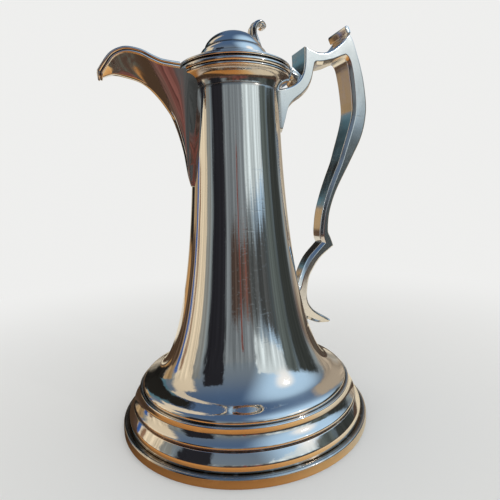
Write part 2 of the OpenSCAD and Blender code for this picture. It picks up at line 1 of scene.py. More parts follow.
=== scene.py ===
"""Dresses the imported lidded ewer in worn, polished silver plate.

Each piece is redrawn finer than its solid, from the same few sizes and in the
same frame. Lines are drawn in millimetres and become metres in the meshes.
"""

import logging
import math
from collections.abc import Callable, Iterator
from contextlib import contextmanager
from dataclasses import dataclass
from enum import Enum

import bmesh
import bpy
import numpy as np
from mathutils import Matrix, Vector


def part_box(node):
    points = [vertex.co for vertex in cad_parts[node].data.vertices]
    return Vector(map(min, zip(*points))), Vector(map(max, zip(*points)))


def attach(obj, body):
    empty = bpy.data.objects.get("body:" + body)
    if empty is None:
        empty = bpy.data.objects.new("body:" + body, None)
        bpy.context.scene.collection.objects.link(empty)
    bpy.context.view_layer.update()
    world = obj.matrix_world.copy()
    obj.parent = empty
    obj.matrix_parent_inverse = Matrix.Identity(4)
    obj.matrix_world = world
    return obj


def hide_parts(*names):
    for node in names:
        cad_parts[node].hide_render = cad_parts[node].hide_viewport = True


log = logging.getLogger("ewer")
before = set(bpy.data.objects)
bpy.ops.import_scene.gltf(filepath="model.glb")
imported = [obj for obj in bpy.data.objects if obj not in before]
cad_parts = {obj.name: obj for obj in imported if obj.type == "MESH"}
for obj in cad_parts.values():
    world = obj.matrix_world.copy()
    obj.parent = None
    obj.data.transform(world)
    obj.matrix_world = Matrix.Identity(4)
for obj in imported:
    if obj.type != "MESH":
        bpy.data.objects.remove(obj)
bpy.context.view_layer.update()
MM = 0.001
IMAGE_PX = 500
# Points and edges that count as one, in metres
WELD, SLIVER, MERGE = 2e-6, 1e-7, 1e-6
# How far the roots of spout and handle reach into the vessel's wall, in millimetres
SUNK = 0.6
FLIP = np.array([1, -1, 1])
MARKS = ("groove", "ridge")
FLOAT, VECTOR, INT = "NodeSocketFloat", "NodeSocketVector", "NodeSocketInt"
GEOMETRY, MATERIAL = "NodeSocketGeometry", "NodeSocketMaterial"
Colour = tuple[float, float, float]
Socket = bpy.types.NodeSocket
Piece = bpy.types.Object
Material = bpy.types.Material


class Body(str, Enum):
    """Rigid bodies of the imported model."""

    EWER = "ewer"
    LID = "lid"


class Slot(str, Enum):
    """Material slots of the record."""

    SPUN = "spun_plate"
    WIRE = "wire_plate"
    CAST = "cast_plate"
    PIN = "pin_metal"


# Lines

def bezier(a: np.ndarray, b: np.ndarray, c: np.ndarray, d: np.ndarray, t: np.ndarray) -> np.ndarray:
    """Points, at places t, of a cubic curve from a to d that is pulled towards b and c."""
    return a * (1 - t) ** 3 + 3 * b * t * (1 - t) ** 2 + 3 * c * t**2 * (1 - t) + d * t**3


def cubic(a: tuple, b: tuple, c: tuple, d: tuple, steps: int) -> np.ndarray:
    """Cubic curve from a to d that is pulled towards b and c, in a number of steps."""
    t = np.linspace(0, 1, steps + 1)[:, None]
    return bezier(*(np.asarray(p, float) for p in (a, b, c, d)), t)


def along(knots: np.ndarray, s: np.ndarray | float) -> np.ndarray:
    """Points of a smooth line through knots.

    Args:
        knots: points or values that the line passes through.
        s: places along the line, from 0 to 1, evenly spread over the knots.

    Returns:
        One row for each place.
    """
    p = np.asarray(knots, float).reshape(len(knots), -1)
    u = np.clip(np.atleast_1d(s), 0.0, 1.0) * (len(p) - 1)
    i = np.minimum(u.astype(int), len(p) - 2)
    before, after = p[np.maximum(i - 1, 0)], p[np.minimum(i + 2, len(p) - 1)]
    a, d = p[i], p[i + 1]
    return bezier(a, a + (d - before) / 6, d - (after - a) / 6, d, (u - i)[:, None])


def smooth(knots: list, steps: int = 8) -> np.ndarray:
    """Smooth line through knots with a number of steps between neighbours."""
    return along(knots, np.linspace(0, 1, (len(knots) - 1) * steps + 1))


def unit(rows: np.ndarray) -> np.ndarray:
    """Rows scaled to length 1."""
    return rows / np.linalg.norm(rows, axis=1)[:, None]


def heading(line: Callable, s: np.ndarray, step: float = 0.01) -> np.ndarray:
    """Direction in which a line runs at places along it."""
    return unit(line(s + step) - line(s - step))


def within(start: tuple, stop: tuple, *shares: tuple) -> list:
    """Points at shares of the way across and of the way down from start to stop."""
    (x0, z0), (x1, z1) = start, stop
    return [(x0 + (x1 - x0) * x, z0 + (z1 - z0) * z) for x, z in shares]


def bead(x: float, z: float, r: float, start: float, stop: float, steps: int = 18) -> np.ndarray:
    """Arc about (x, z) with radius r, between two angles in degrees."""
    a = np.radians(np.linspace(start, stop, steps + 1))
    return np.stack([x + r * np.cos(a), z + r * np.sin(a)], 1)


def beside(line: np.ndarray, d: float) -> np.ndarray:
    """Line moved to the right of its run by d."""
    run = unit(np.gradient(line, axis=0))
    return line + d * np.stack([run[:, 1], -run[:, 0]], 1)


def radius_at(line: np.ndarray, z: np.ndarray | float) -> np.ndarray:
    """Radius of a profile that runs downwards, at a height."""
    return np.interp(z, line[::-1, 1], line[::-1, 0])


def upright(x: np.ndarray, y: np.ndarray | float, z: np.ndarray) -> np.ndarray:
    """Points from their three coordinates."""
    return np.stack(np.broadcast_arrays(x, y, z), -1)


def eased(loop: np.ndarray, ease: float = 0.22, angle: float = 22.0,
          share: float = 0.4) -> np.ndarray:
    """Rounds the corners of a closed profile, as polishing does.

    Args:
        loop: corners in order, the last one joined to the first.
        ease: how far a rounding reaches from its corner.
        angle: smallest turn, in degrees, that counts as a corner.
        share: largest share of a side that a rounding takes.

    Returns:
        The profile with each corner replaced by a short arc.
    """
    out = []
    for before, p, after in zip(np.roll(loop, 1, 0), loop, np.roll(loop, -1, 0)):
        a, b = before - p, after - p
        la, lb = np.linalg.norm(a), np.linalg.norm(b)
        turn = math.degrees(math.acos(float(np.clip(-(a @ b) / (la * lb), -1, 1))))
        if turn < angle or p[0] < 1e-6:
            out.append(p)
            continue
        reach = min(ease, share * la, share * lb)
        p0, p2 = p + a / la * reach, p + b / lb * reach
        out += [p0 * (1 - t) ** 2 + 2 * p * t * (1 - t) + p2 * t**2 for t in np.linspace(0, 1, 5)]
    return np.array(out)


def relief(loop: np.ndarray, reach: float = 1.3,
           full: float = 0.3) -> tuple[np.ndarray, np.ndarray]:
    """Finds the hollows and the edges of a closed profile.

    Args:
        loop: profile points in order.
        reach: distance along the profile over which it is judged.
        full: sag, as a share of the reach, that counts as 1.

    Returns:
        For each point, how far it lies in a hollow and how far on an edge, from 0 to 1.
    """
    step = np.linalg.norm(np.roll(loop, -1, 0) - loop, axis=1)
    place = np.concatenate([[0], np.cumsum(step)])
    ends = np.vstack([loop, loop[:1]])

    def point(at: np.ndarray) -> np.ndarray:
        """Points of the profile at distances along it."""
        at = np.mod(at, place[-1])
        return np.stack([np.interp(at, place, ends[:, k]) for k in (0, 1)], 1)

    ahead, behind = point(place[:-1] + reach), point(place[:-1] - reach)
    run = ahead - behind
    out = np.stack([run[:, 1], -run[:, 0]], 1) / (np.linalg.norm(run, axis=1)[:, None] + 1e-9)
    x, z = loop.T
    if np.sum(x * np.roll(z, -1) - np.roll(x, -1) * z) < 0:
        out = -out
    sag = np.sum(((ahead + behind) / 2 - loop) * out, axis=1) / reach
    return np.clip(sag / full, 0, 1), np.clip(-sag / full, 0, 1)


# Node trees

class Wiring:
    """Adds nodes to a tree and joins their sockets."""

    def __init__(self, tree: bpy.types.NodeTree) -> None:
        """Keeps the tree that the nodes go into."""
        self.tree = tree

    def node(self, kind: str, inputs: dict | None = None, **settings: object) -> bpy.types.Node:
        """Adds a node.

        Args:
            kind: identifier of the node's type.
            inputs: sockets by name or number, each with a value or a socket to join.
            settings: properties of the node.

        Returns:
            The new node.
        """
        node = self.tree.nodes.new(kind)
        for name, value in settings.items():
            setattr(node, name, value)
        for key, value in (inputs or {}).items():
            if isinstance(value, Socket):
                self.tree.links.new(value, node.inputs[key])
            else:
                node.inputs[key].default_value = value
        return node

    def math(self, operation: str, *values: object) -> Socket:
        """Result of a Math node on values or sockets."""
        return self.node("ShaderNodeMath", dict(enumerate(values)), operation=operation).outputs[0]

    def plus(self, a: object, b: object) -> Socket:
        """Sum of two values."""
        return self.math("ADD", a, b)

    def minus(self, a: object, b: object) -> Socket:
        """Difference of two values."""
        return self.math("SUBTRACT", a, b)

    def times(self, a: object, b: object) -> Socket:
        """Product of two values."""
        return self.math("MULTIPLY", a, b)

    def most(self, *values: object) -> Socket:
        """Largest of several values."""
        first, *rest = values
        for value in rest:
            first = self.math("MAXIMUM", first, value)
        return first

    def dot(self, a: object, b: object) -> Socket:
        """Dot product of two vectors."""
        node = self.node("ShaderNodeVectorMath", {0: a, 1: b}, operation="DOT_PRODUCT")
        return node.outputs["Value"]

    def scaled(self, vector: object, scale: object) -> Socket:
        """Vector times a value."""
        node = self.node("ShaderNodeVectorMath", {0: vector, "Scale": scale}, operation="SCALE")
        return node.outputs[0]

    def split(self, vector: object) -> list[Socket]:
        """Three coordinates of a vector."""
        return list(self.node("ShaderNodeSeparateXYZ", {0: vector}).outputs)

    def vector(self, x: object, y: object, z: object) -> Socket:
        """Vector from three coordinates."""
        return self.node("ShaderNodeCombineXYZ", {0: x, 1: y, 2: z}).outputs[0]

    def fade(self, value: object, low: float, high: float) -> Socket:
        """Smooth step of a value from 0 at low to 1 at high."""
        spread = {"Value": value, "From Min": low, "From Max": high}
        return self.node("ShaderNodeMapRange", spread, interpolation_type="SMOOTHSTEP").outputs[0]

    def noise(self, vector: object, scale: float, detail: float = 3.0,
              rough: float = 0.55) -> Socket:
        """Value of a noise texture."""
        spread = {"Vector": vector, "Scale": scale, "Detail": detail, "Roughness": rough}
        return self.node("ShaderNodeTexNoise", spread).outputs[0]

    def ripple(self, vector: object, scale: float, detail: float, rough: float = 0.55) -> Socket:
        """Noise that swings about 0."""
        return self.minus(self.noise(vector, scale, detail, rough), 0.5)

    def mix(self, factor: object, a: object, b: object, label: str = "") -> Socket:
        """Colour between a and b."""
        a, b = ((*c, 1.0) if isinstance(c, tuple) else c for c in (a, b))
        node = self.node("ShaderNodeMix", {0: factor, 6: a, 7: b}, data_type="RGBA", label=label)
        return node.outputs[2]

    def blend(self, factor: object, a: bpy.types.Node, b: bpy.types.Node) -> bpy.types.Node:
        """Shader between a and b."""
        return self.node("ShaderNodeMixShader", {0: factor, 1: a.outputs[0], 2: b.outputs[0]})


def new_tree(name: str, kind: str, inputs: dict[str, str], outputs: dict[str, str]) -> tuple:
    """Starts a node group with named sockets.

    Args:
        name: name of the group.
        kind: type of the tree.
        inputs: names of the inputs with their socket types.
        outputs: names of the outputs with their socket types.

    Returns:
        The tree, its wiring, the sockets of its inputs by name and its output node.
    """
    tree = bpy.data.node_groups.new(name, kind)
    for way, sockets in (("INPUT", inputs), ("OUTPUT", outputs)):
        for label, socket in sockets.items():
            tree.interface.new_socket(label, in_out=way, socket_type=socket)
    w = Wiring(tree)
    return tree, w, w.node("NodeGroupInput").outputs, w.node("NodeGroupOutput")


def bare_tree(owner: Material | bpy.types.World) -> Wiring:
    """Wiring of the emptied node tree of a material or a world."""
    owner.use_nodes = True
    owner.node_tree.nodes.clear()
    return Wiring(owner.node_tree)


# Meshes

def link(name: str, data: bpy.types.ID) -> Piece:
    """New object in the scene, at the origin."""
    made = bpy.data.objects.new(name, data)
    bpy.context.scene.collection.objects.link(made)
    return made


def new_piece(name: str, points: np.ndarray, faces: list, edges: list | None = None) -> Piece:
    """Object at the origin with a mesh of points given in millimetres."""
    mesh = bpy.data.meshes.new(name)
    mesh.from_pydata((np.asarray(points, float) * MM).tolist(), edges or [], faces)
    return link(name, mesh)


def store(piece: Piece, **values: np.ndarray) -> None:
    """Writes one value or vector for each point of the mesh, under the given names."""
    for name, rows in values.items():
        rows = np.asarray(rows, np.float32)
        kind, key = ("FLOAT", "value") if rows.ndim == 1 else ("FLOAT_VECTOR", "vector")
        piece.data.attributes.new(name, kind, "POINT").data.foreach_set(key, rows.ravel())


@contextmanager
def opened(piece: Piece) -> Iterator[bmesh.types.BMesh]:
    """Opens a piece's mesh with its doubles merged, and writes it back."""
    made = bmesh.new()
    made.from_mesh(piece.data)
    bmesh.ops.remove_doubles(made, verts=made.verts, dist=WELD)
    yield made
    made.to_mesh(piece.data)
    made.free()


def settle(piece: Piece, sharp: float = 38.0) -> Piece:
    """Closes open ends, turns faces outwards and shades the piece smooth up to an angle."""
    with opened(piece) as made:
        bmesh.ops.dissolve_degenerate(made, edges=made.edges, dist=SLIVER)
        rims = [e for e in made.edges if e.is_boundary]
        if rims:
            bmesh.ops.holes_fill(made, edges=rims)
        bmesh.ops.recalc_face_normals(made, faces=made.faces)
    piece.data.polygons.foreach_set("use_smooth", [True] * len(piece.data.polygons))
    piece.data.set_sharp_from_angle(angle=math.radians(sharp))
    piece.data.update()
    return piece


def apply_modifiers(piece: Piece) -> Piece:
    """Turns the evaluated piece into a plain mesh and removes its modifiers."""
    bpy.context.view_layer.update()
    graph = bpy.context.evaluated_depsgraph_get()
    mesh = bpy.data.meshes.new_from_object(piece.evaluated_get(graph), depsgraph=graph,
                                           preserve_all_data_layers=True)
    piece.modifiers.clear()
    piece.data = mesh
    mesh.name = piece.name
    return piece


def loft(name: str, rings: np.ndarray, groove: np.ndarray | None = None,
         ridge: np.ndarray | None = None) -> Piece:
    """Closed skin over rings of equal length.

    Args:
        name: name of the piece.
        rings: points as ring, place in the ring and coordinate.
        groove: hollow of each point, as ring and place, or none.
        ridge: edge of each point, as ring and place, or none.

    Returns:
        The piece, with each end closed by a strip between the halves of its ring.
    """
    m, n = rings.shape[:2]
    faces = [(j * n + i, j * n + (i + 1) % n, (j + 1) * n + (i + 1) % n, (j + 1) * n + i)
             for j in range(m - 1) for i in range(n)]
    for start in (0, (m - 1) * n):
        faces += [(start + i, start + i + 1, start + n - 2 - i, start + n - 1 - i)
                  for i in range(n // 2 - 1)]
    piece = new_piece(name, rings.reshape(-1, 3), faces)
    marks = (np.zeros(m * n) if mark is None else mark.ravel() for mark in (groove, ridge))
    store(piece, **dict(zip(MARKS, marks)))
    return settle(piece)


class GridShape:
    """Geometry-node tree that bends a grid over the points of a drawn line."""

    def __init__(self, name: str, size: str) -> None:
        """Starts the tree.

        Args:
            name: name of the tree.
            size: name of its whole-number input.
        """
        self.tree, self.w, start, self.end = new_tree(
            name, "GeometryNodeTree", {"Line": GEOMETRY, size: INT, "Material": MATERIAL},
            {"Mesh": GEOMETRY})
        self.line, self.size, self.material = (start[n] for n in ("Line", size, "Material"))
        domain = self.w.node("GeometryNodeAttributeDomainSize", {"Geometry": self.line})
        self.count = domain.outputs["Point Count"]
        self.index = self.w.node("GeometryNodeInputIndex").outputs[0]

    def sample(self, kind: str, label: str, at: Socket) -> Socket:
        """Position or named value of the line at an index."""
        if label == "position":
            value = self.w.node("GeometryNodeInputPosition")
        else:
            value = self.w.node("GeometryNodeInputNamedAttribute", {"Name": label}, data_type=kind)
        spread = {"Geometry": self.line, "Value": value.outputs[0], "Index": at}
        return self.w.node("GeometryNodeSampleIndex", spread, data_type=kind).outputs[0]

    def close(self, rows: Socket, columns: Socket, place: Socket, at: Socket) -> None:
        """Ends the tree.

        Args:
            rows: points of the grid one way.
            columns: points of the grid the other way.
            place: where each point of the grid goes.
            at: point of the line that each point takes its marks from.
        """
        w = self.w
        grid = w.node("GeometryNodeMeshGrid", {"Vertices X": rows, "Vertices Y": columns})
        shape = grid.outputs["Mesh"]
        for label in MARKS:
            mark = {"Geometry": shape, "Name": label, "Value": self.sample("FLOAT", label, at)}
            shape = w.node("GeometryNodeStoreNamedAttribute", mark,
                           data_type="FLOAT", domain="POINT").outputs[0]
        for kind, inputs in (("SetPosition", {"Position": place}),
                             ("MergeByDistance", {"Distance": MERGE}), ("RealizeInstances", {}),
                             ("SetMaterial", {"Material": self.material})):
            shape = w.node("GeometryNode" + kind, {"Geometry": shape, **inputs}).outputs[0]
        self.tree.links.new(shape, self.end.inputs["Mesh"])

    def run(self, piece: Piece, sharp: float, **inputs: object) -> Piece:
        """Runs the tree on a drawn line.

        Args:
            piece: object with the line.
            sharp: angle from which edges stay sharp, in degrees.
            inputs: values of the tree's inputs by name.

        Returns:
            The piece as a plain mesh.
        """
        modifier = piece.modifiers.new(self.tree.name, "NODES")
        modifier.node_group = self.tree
        for item in self.tree.interface.items_tree:
            if item.in_out == "INPUT" and item.name in inputs:
                modifier[item.identifier] = inputs[item.name]
        return settle(apply_modifiers(piece), sharp)


class SpunShape(GridShape):
    """Tree that turns a closed profile about the upright axis."""

    sharp = 32.0
    seam_film = 1.3

    def __init__(self) -> None:
        """Builds the tree: rows take the profile's points and columns go round the axis."""
        super().__init__("spun_shape", "Segments")
        w = self.w
        columns = w.plus(self.size, 1)
        row = w.math("FLOOR", w.math("DIVIDE", self.index, columns))
        turn = w.math("DIVIDE", w.math("MODULO", self.index, columns), self.size)
        angle = w.times(turn, math.tau)
        radius, _, height = w.split(self.sample("FLOAT_VECTOR", "position", row))
        place = w.vector(w.times(radius, w.math("COSINE", angle)),
                         w.times(radius, w.math("SINE", angle)), height)
        self.close(self.count, columns, place, row)

    def piece(self, name: str, profile: np.ndarray, material: Material, segments: int = 192,
              seams: tuple = (), reach: float = 1.3) -> Piece:
        """Spins a closed profile.

        Args:
            name: name of the piece.
            profile: closed loop of radius and height, in millimetres.
            material: finish of the piece.
            segments: faces round the axis.
            seams: radius, height and reach of the film at each joint with another piece.
            reach: distance over which hollows and edges are judged, in millimetres.

        Returns:
            The piece as a plain mesh.
        """
        loop = eased(profile)
        groove, ridge = relief(loop, reach)
        for r, z, spread in seams:
            away = np.hypot(loop[:, 0] - r, loop[:, 1] - z)
            groove = np.maximum(groove, np.clip(self.seam_film - away / spread, 0, 1))
        loop, groove, ridge = (np.concatenate([v, v[:1]]) for v in (loop, groove, ridge))
        edges = [(i, i + 1) for i in range(len(loop) - 1)]
        piece = new_piece(name, upright(loop[:, 0], 0.0, loop[:, 1]), [], edges)
        store(piece, groove=groove, ridge=ridge)
        return self.run(piece, self.sharp, Segments=segments, Material=material)


class Moulding(GridShape):
    """Tree that carries a closed section along a path."""

    sharp = 40.0
    ease = 0.15
    reach = 0.6

    def __init__(self) -> None:
        """Builds the tree: the line holds the path's points and then the section's."""
        super().__init__("moulding", "Stations")
        w = self.w
        columns = w.minus(self.count, self.size)
        row = w.math("FLOOR", w.math("DIVIDE", self.index, columns))
        column = w.plus(self.size, w.math("MODULO", self.index, columns))
        x, _, z = w.split(self.sample("FLOAT_VECTOR", "position", column))
        place = self.sample("FLOAT_VECTOR", "position", row)
        for label, way in (("across", x), ("up", z)):
            aside = w.scaled(self.sample("FLOAT_VECTOR", label, row), way)
            place = w.node("ShaderNodeVectorMath", {0: place, 1: aside}, operation="ADD").outputs[0]
        self.close(self.size, columns, place, column)

    def piece(self, name: str, path: np.ndarray, across: np.ndarray, up: np.ndarray,
              section: np.ndarray, material: Material) -> Piece:
        """Carries a section along a path.

        Args:
            name: name of the piece.
            path: points of the path, in millimetres.
            across: direction of the section's first axis at each point.
            up: direction of the section's second axis at each point.
            section: closed loop of the section, in millimetres.
            material: finish of the piece.

        Returns:
            The piece as a plain mesh.
        """
        loop = eased(section, self.ease)
        groove, ridge = relief(loop, self.reach)
        loop, groove, ridge = (np.concatenate([v, v[:1]]) for v in (loop, groove, ridge))
        piece = new_piece(name, np.vstack([path, upright(loop[:, 0], 0.0, loop[:, 1])]), [])
        none, blank = np.zeros((len(loop), 3)), np.zeros(len(path))
        store(piece, across=np.vstack([across, none]), up=np.vstack([up, none]),
              groove=np.concatenate([blank, groove]), ridge=np.concatenate([blank, ridge]))
        return self.run(piece, self.sharp, Stations=len(path), Material=material)


# Finishes

def new_group(name: str, inputs: tuple, outputs: tuple) -> tuple:
    """Starts a shader group that reads a vector and values and puts out values."""
    return new_tree(name, "ShaderNodeTree", {"Vector": VECTOR, **dict.fromkeys(inputs, FLOAT)},
                    dict.fromkeys(outputs, FLOAT))


class Effects:
    """Shader node groups that the plated finishes share."""

    def __init__(self) -> None:
        """Builds each group once."""
        self.lines = self.polish_lines()
        self.tarnish = self.plate_tarnish()
        self.marks = self.handling_marks()

    @staticmethod
    def polish_lines() -> bpy.types.NodeTree:
        """Fine lines round the axis, as a lathe and a mop leave them."""
        tree, w, start, end = new_group("polish_lines", ("Pitch",), ("Height",))
        lean, breaks = 0.8, 9.0
        x, y, z = w.split(start["Vector"])
        radius = w.math("SQRT", w.plus(w.times(x, x), w.times(y, y)))
        run = w.times(w.plus(z, w.times(radius, lean)), start["Pitch"])
        turn = w.vector(w.times(x, breaks), w.times(y, breaks), run)
        tree.links.new(w.noise(turn, scale=1.0, detail=4.0, rough=0.6), end.inputs["Height"])
        return tree

    @staticmethod
    def plate_tarnish() -> bpy.types.NodeTree:
        """Warm film that gathers in hollows and lies in faint clouds elsewhere."""
        tree, w, start, end = new_group("plate_tarnish", ("Groove", "Clouds", "Hollows"), ("Mask",))
        cloud = w.noise(start["Vector"], scale=26.0, detail=5.0, rough=0.6)
        film = w.times(w.fade(cloud, low=0.45, high=0.78), start["Clouds"])
        broken = w.noise(start["Vector"], scale=140.0, detail=3.0, rough=0.6)
        dirt = w.times(start["Groove"], w.fade(broken, low=0.1, high=0.45))
        mask = w.math("MINIMUM", w.plus(film, w.times(dirt, start["Hollows"])), 1.0)
        tree.links.new(mask, end.inputs["Mask"])
        return tree

    @staticmethod
    def handling_marks() -> bpy.types.NodeTree:
        """Wiped smudges and hair scratches."""
        tree, w, start, end = new_group("handling_marks", ("Scale",), ("Smudge", "Scratch"))
        vector = w.scaled(start["Vector"], start["Scale"])

        def drawn(turn: tuple, stretch: tuple) -> Socket:
            """Place turned and stretched, so that marks run one way."""
            spread = {"Vector": vector, "Rotation": turn, "Scale": stretch}
            return w.node("ShaderNodeMapping", spread).outputs[0]

        wiped = w.noise(drawn((0.5, 0.3, 0.9), (1.0, 2.6, 0.7)), scale=34.0, detail=5.0, rough=0.62)
        hairs = [w.noise(drawn(turn, stretch), scale=9.0, detail=1.0, rough=0.4)
                 for turn, stretch in (((0.4, 0.2, 1.1), (5.0, 95.0, 60.0)),
                                       ((1.3, 0.8, -0.5), (80.0, 4.0, 70.0)))]
        scratch = w.most(*(w.fade(hair, low=0.66, high=0.72) for hair in hairs))
        tree.links.new(w.fade(wiped, low=0.42, high=0.72), end.inputs["Smudge"])
        tree.links.new(scratch, end.inputs["Scratch"])
        return tree


@dataclass(frozen=True)
class PlateFinish:
    """One plated finish: its colours, how it is polished and how it is worn."""

    slot: Slot
    silver: Colour
    film: Colour
    roughness: float
    smudge: float
    clouds: float
    hollows: float
    pitch: float
    line_depth: float
    wobble: float
    wobble_size: float
    marks_scale: float = 1.0
    worn_edge: Colour = (0.97, 0.96, 0.94)
    edge_wear: float = 0.35
    film_rough: float = 0.16
    scratch_rough: float = 0.05
    scratch_share: float = 0.12
    scratch_depth: float = 0.0025

    def material(self, effects: Effects) -> Material:
        """Builds the material.

        Args:
            effects: the shared node groups.

        Returns:
            A metal with polish lines, wobble, smudges, scratches and a warm film.
        """
        made = bpy.data.materials.new(self.slot.value)
        w = bare_tree(made)
        place = w.node("ShaderNodeTexCoord").outputs["Object"]
        groove, ridge = (w.node("ShaderNodeAttribute", attribute_name=n).outputs["Fac"]
                         for n in MARKS)
        hollow = {"Groove": groove, "Clouds": self.clouds, "Hollows": self.hollows}
        lines, tarnish, marks = (
            w.node("ShaderNodeGroup", {"Vector": place, **inputs}, node_tree=tree).outputs
            for tree, inputs in ((effects.lines, {"Pitch": self.pitch}), (effects.tarnish, hollow),
                                 (effects.marks, {"Scale": self.marks_scale})))
        mask, scratch = tarnish["Mask"], marks["Scratch"]
        colour = w.mix(mask, self.silver, self.film)
        colour = w.mix(w.times(ridge, self.edge_wear), colour, self.worn_edge)
        rough = w.plus(self.roughness, w.times(marks["Smudge"], self.smudge))
        rough = w.plus(rough, w.times(mask, self.film_rough))
        rough = w.plus(rough, w.times(scratch, self.scratch_rough))
        wave = w.times(w.noise(place, self.wobble_size, detail=2.0, rough=0.45), self.wobble)
        height = w.plus(wave, w.times(lines["Height"], self.line_depth))
        depth = self.scratch_share * self.line_depth + self.scratch_depth
        height = w.minus(height, w.times(scratch, depth))
        bump = w.node("ShaderNodeBump", {"Strength": 1.0, "Distance": MM, "Height": height})
        shader = w.node("ShaderNodeBsdfPrincipled", {
            "Base Color": colour, "Metallic": 1.0, "Roughness": rough, "Normal": bump.outputs[0]})
        w.node("ShaderNodeOutputMaterial", {"Surface": shader.outputs[0]})
        return made


FINISHES = (
    PlateFinish(Slot.SPUN, silver=(0.90, 0.89, 0.87), film=(0.15, 0.105, 0.07), roughness=0.03,
                smudge=0.04, clouds=0.05, hollows=0.95, pitch=2600.0, line_depth=0.004,
                wobble=0.10, wobble_size=24.0),
    PlateFinish(Slot.WIRE, silver=(0.89, 0.87, 0.84), film=(0.14, 0.10, 0.065), roughness=0.06,
                smudge=0.06, clouds=0.08, hollows=1.0, pitch=1800.0, line_depth=0.008,
                wobble=0.03, wobble_size=60.0),
    PlateFinish(Slot.CAST, silver=(0.90, 0.90, 0.89), film=(0.22, 0.17, 0.12), roughness=0.13,
                smudge=0.09, clouds=0.06, hollows=0.8, pitch=900.0, line_depth=0.003,
                wobble=0.05, wobble_size=40.0, marks_scale=1.4),
    PlateFinish(Slot.PIN, silver=(0.66, 0.65, 0.63), film=(0.30, 0.22, 0.15), roughness=0.24,
                smudge=0.12, clouds=0.40, hollows=0.8, pitch=3000.0, line_depth=0.012,
                wobble=0.02, wobble_size=90.0, marks_scale=2.0),
)


class Workshop:
    """Trees and finishes that every sub-assembly uses, and the way a piece joins the frame."""

    flat_deg = 3.0
    edge_deg = 35.0
    sharp_deg = 30.0

    def __init__(self) -> None:
        """Builds the geometry trees and the materials."""
        effects = Effects()
        self.spun = SpunShape()
        self.moulding = Moulding()
        self.finish = {f.slot: f.material(effects) for f in FINISHES}

    def dress(self, piece: Piece, body: Body, slot: Slot, *nodes: str) -> None:
        """Gives a piece its finish and its place in the frame.

        Args:
            piece: the finished mesh.
            body: body that it moves with.
            slot: slot that its finish belongs to.
            nodes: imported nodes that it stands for.
        """
        piece.data.materials.clear()
        piece.data.materials.append(self.finish[slot])
        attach(piece, body.value)
        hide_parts(*nodes)
        log.info("%s: %d faces on %s", piece.name, len(piece.data.polygons), body.value)

    def spin(self, name: str, profile: np.ndarray, body: Body, slot: Slot, node: str,
             **how: object) -> None:
        """Spins a closed profile and dresses it.

        Args:
            name: name of the piece.
            profile: closed loop of radius and height, in millimetres.
            body: body that it moves with.
            slot: slot of its finish.
            node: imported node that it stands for.
            how: faces, seams and reach, as the spun shape takes them.
        """
        self.dress(self.spun.piece(name, profile, self.finish[slot], **how), body, slot, node)

    def soften(self, node: str, slot: Slot, body: Body, width: float) -> None:
        """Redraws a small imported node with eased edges.

        Args:
            node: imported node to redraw.
            slot: slot of its finish.
            body: body that it moves with.
            width: width of the easing in millimetres.
        """
        piece = link(node + "_eased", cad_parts[node].data.copy())
        normals = piece.data.attributes.get("custom_normal")
        if normals is not None:
            piece.data.attributes.remove(normals)
        with opened(piece) as made:
            bmesh.ops.dissolve_limit(made, angle_limit=math.radians(self.flat_deg),
                                     verts=made.verts, edges=made.edges)
        ease = piece.modifiers.new("ease", "BEVEL")
        ease.width, ease.segments = width * MM, 2
        ease.limit_method, ease.angle_limit = "ANGLE", math.radians(self.edge_deg)
        self.dress(settle(apply_modifiers(piece), self.sharp_deg), body, slot, node)


# Pieces

@dataclass(frozen=True)
class Datum:
    """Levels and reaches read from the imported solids, in millimetres."""

    foot_r: float
    flange_h: float
    foot_h: float
    edge_r: float
    body_h: float
    mouth_z: float
    mouth_r: float
    lid_z: float
    cover_z: float
    lid_r: float
    lid_top: float
    grip_reach: float

    @classmethod
    def read(cls) -> "Datum":
        """Reads the levels from the frame."""
        def low(node: str) -> Vector:
            """Lowest corner of a node in millimetres."""
            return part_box(node)[0] / MM

        def high(node: str) -> Vector:
            """Highest corner of a node in millimetres."""
            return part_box(node)[1] / MM

        return cls(foot_r=high("foot_wire").x, flange_h=high("foot_wire").z,
                   foot_h=low("base_plate").z, edge_r=high("body_shell").x,
                   body_h=high("body_shell").z, mouth_z=high("mouth_ring").z,
                   mouth_r=high("mouth_ring").x, lid_z=low("lid_wire").z,
                   cover_z=high("lid_wire").z, lid_r=high("lid_wire").x,
                   lid_top=high("lid_cover").z, grip_reach=high("handle_grip").x)


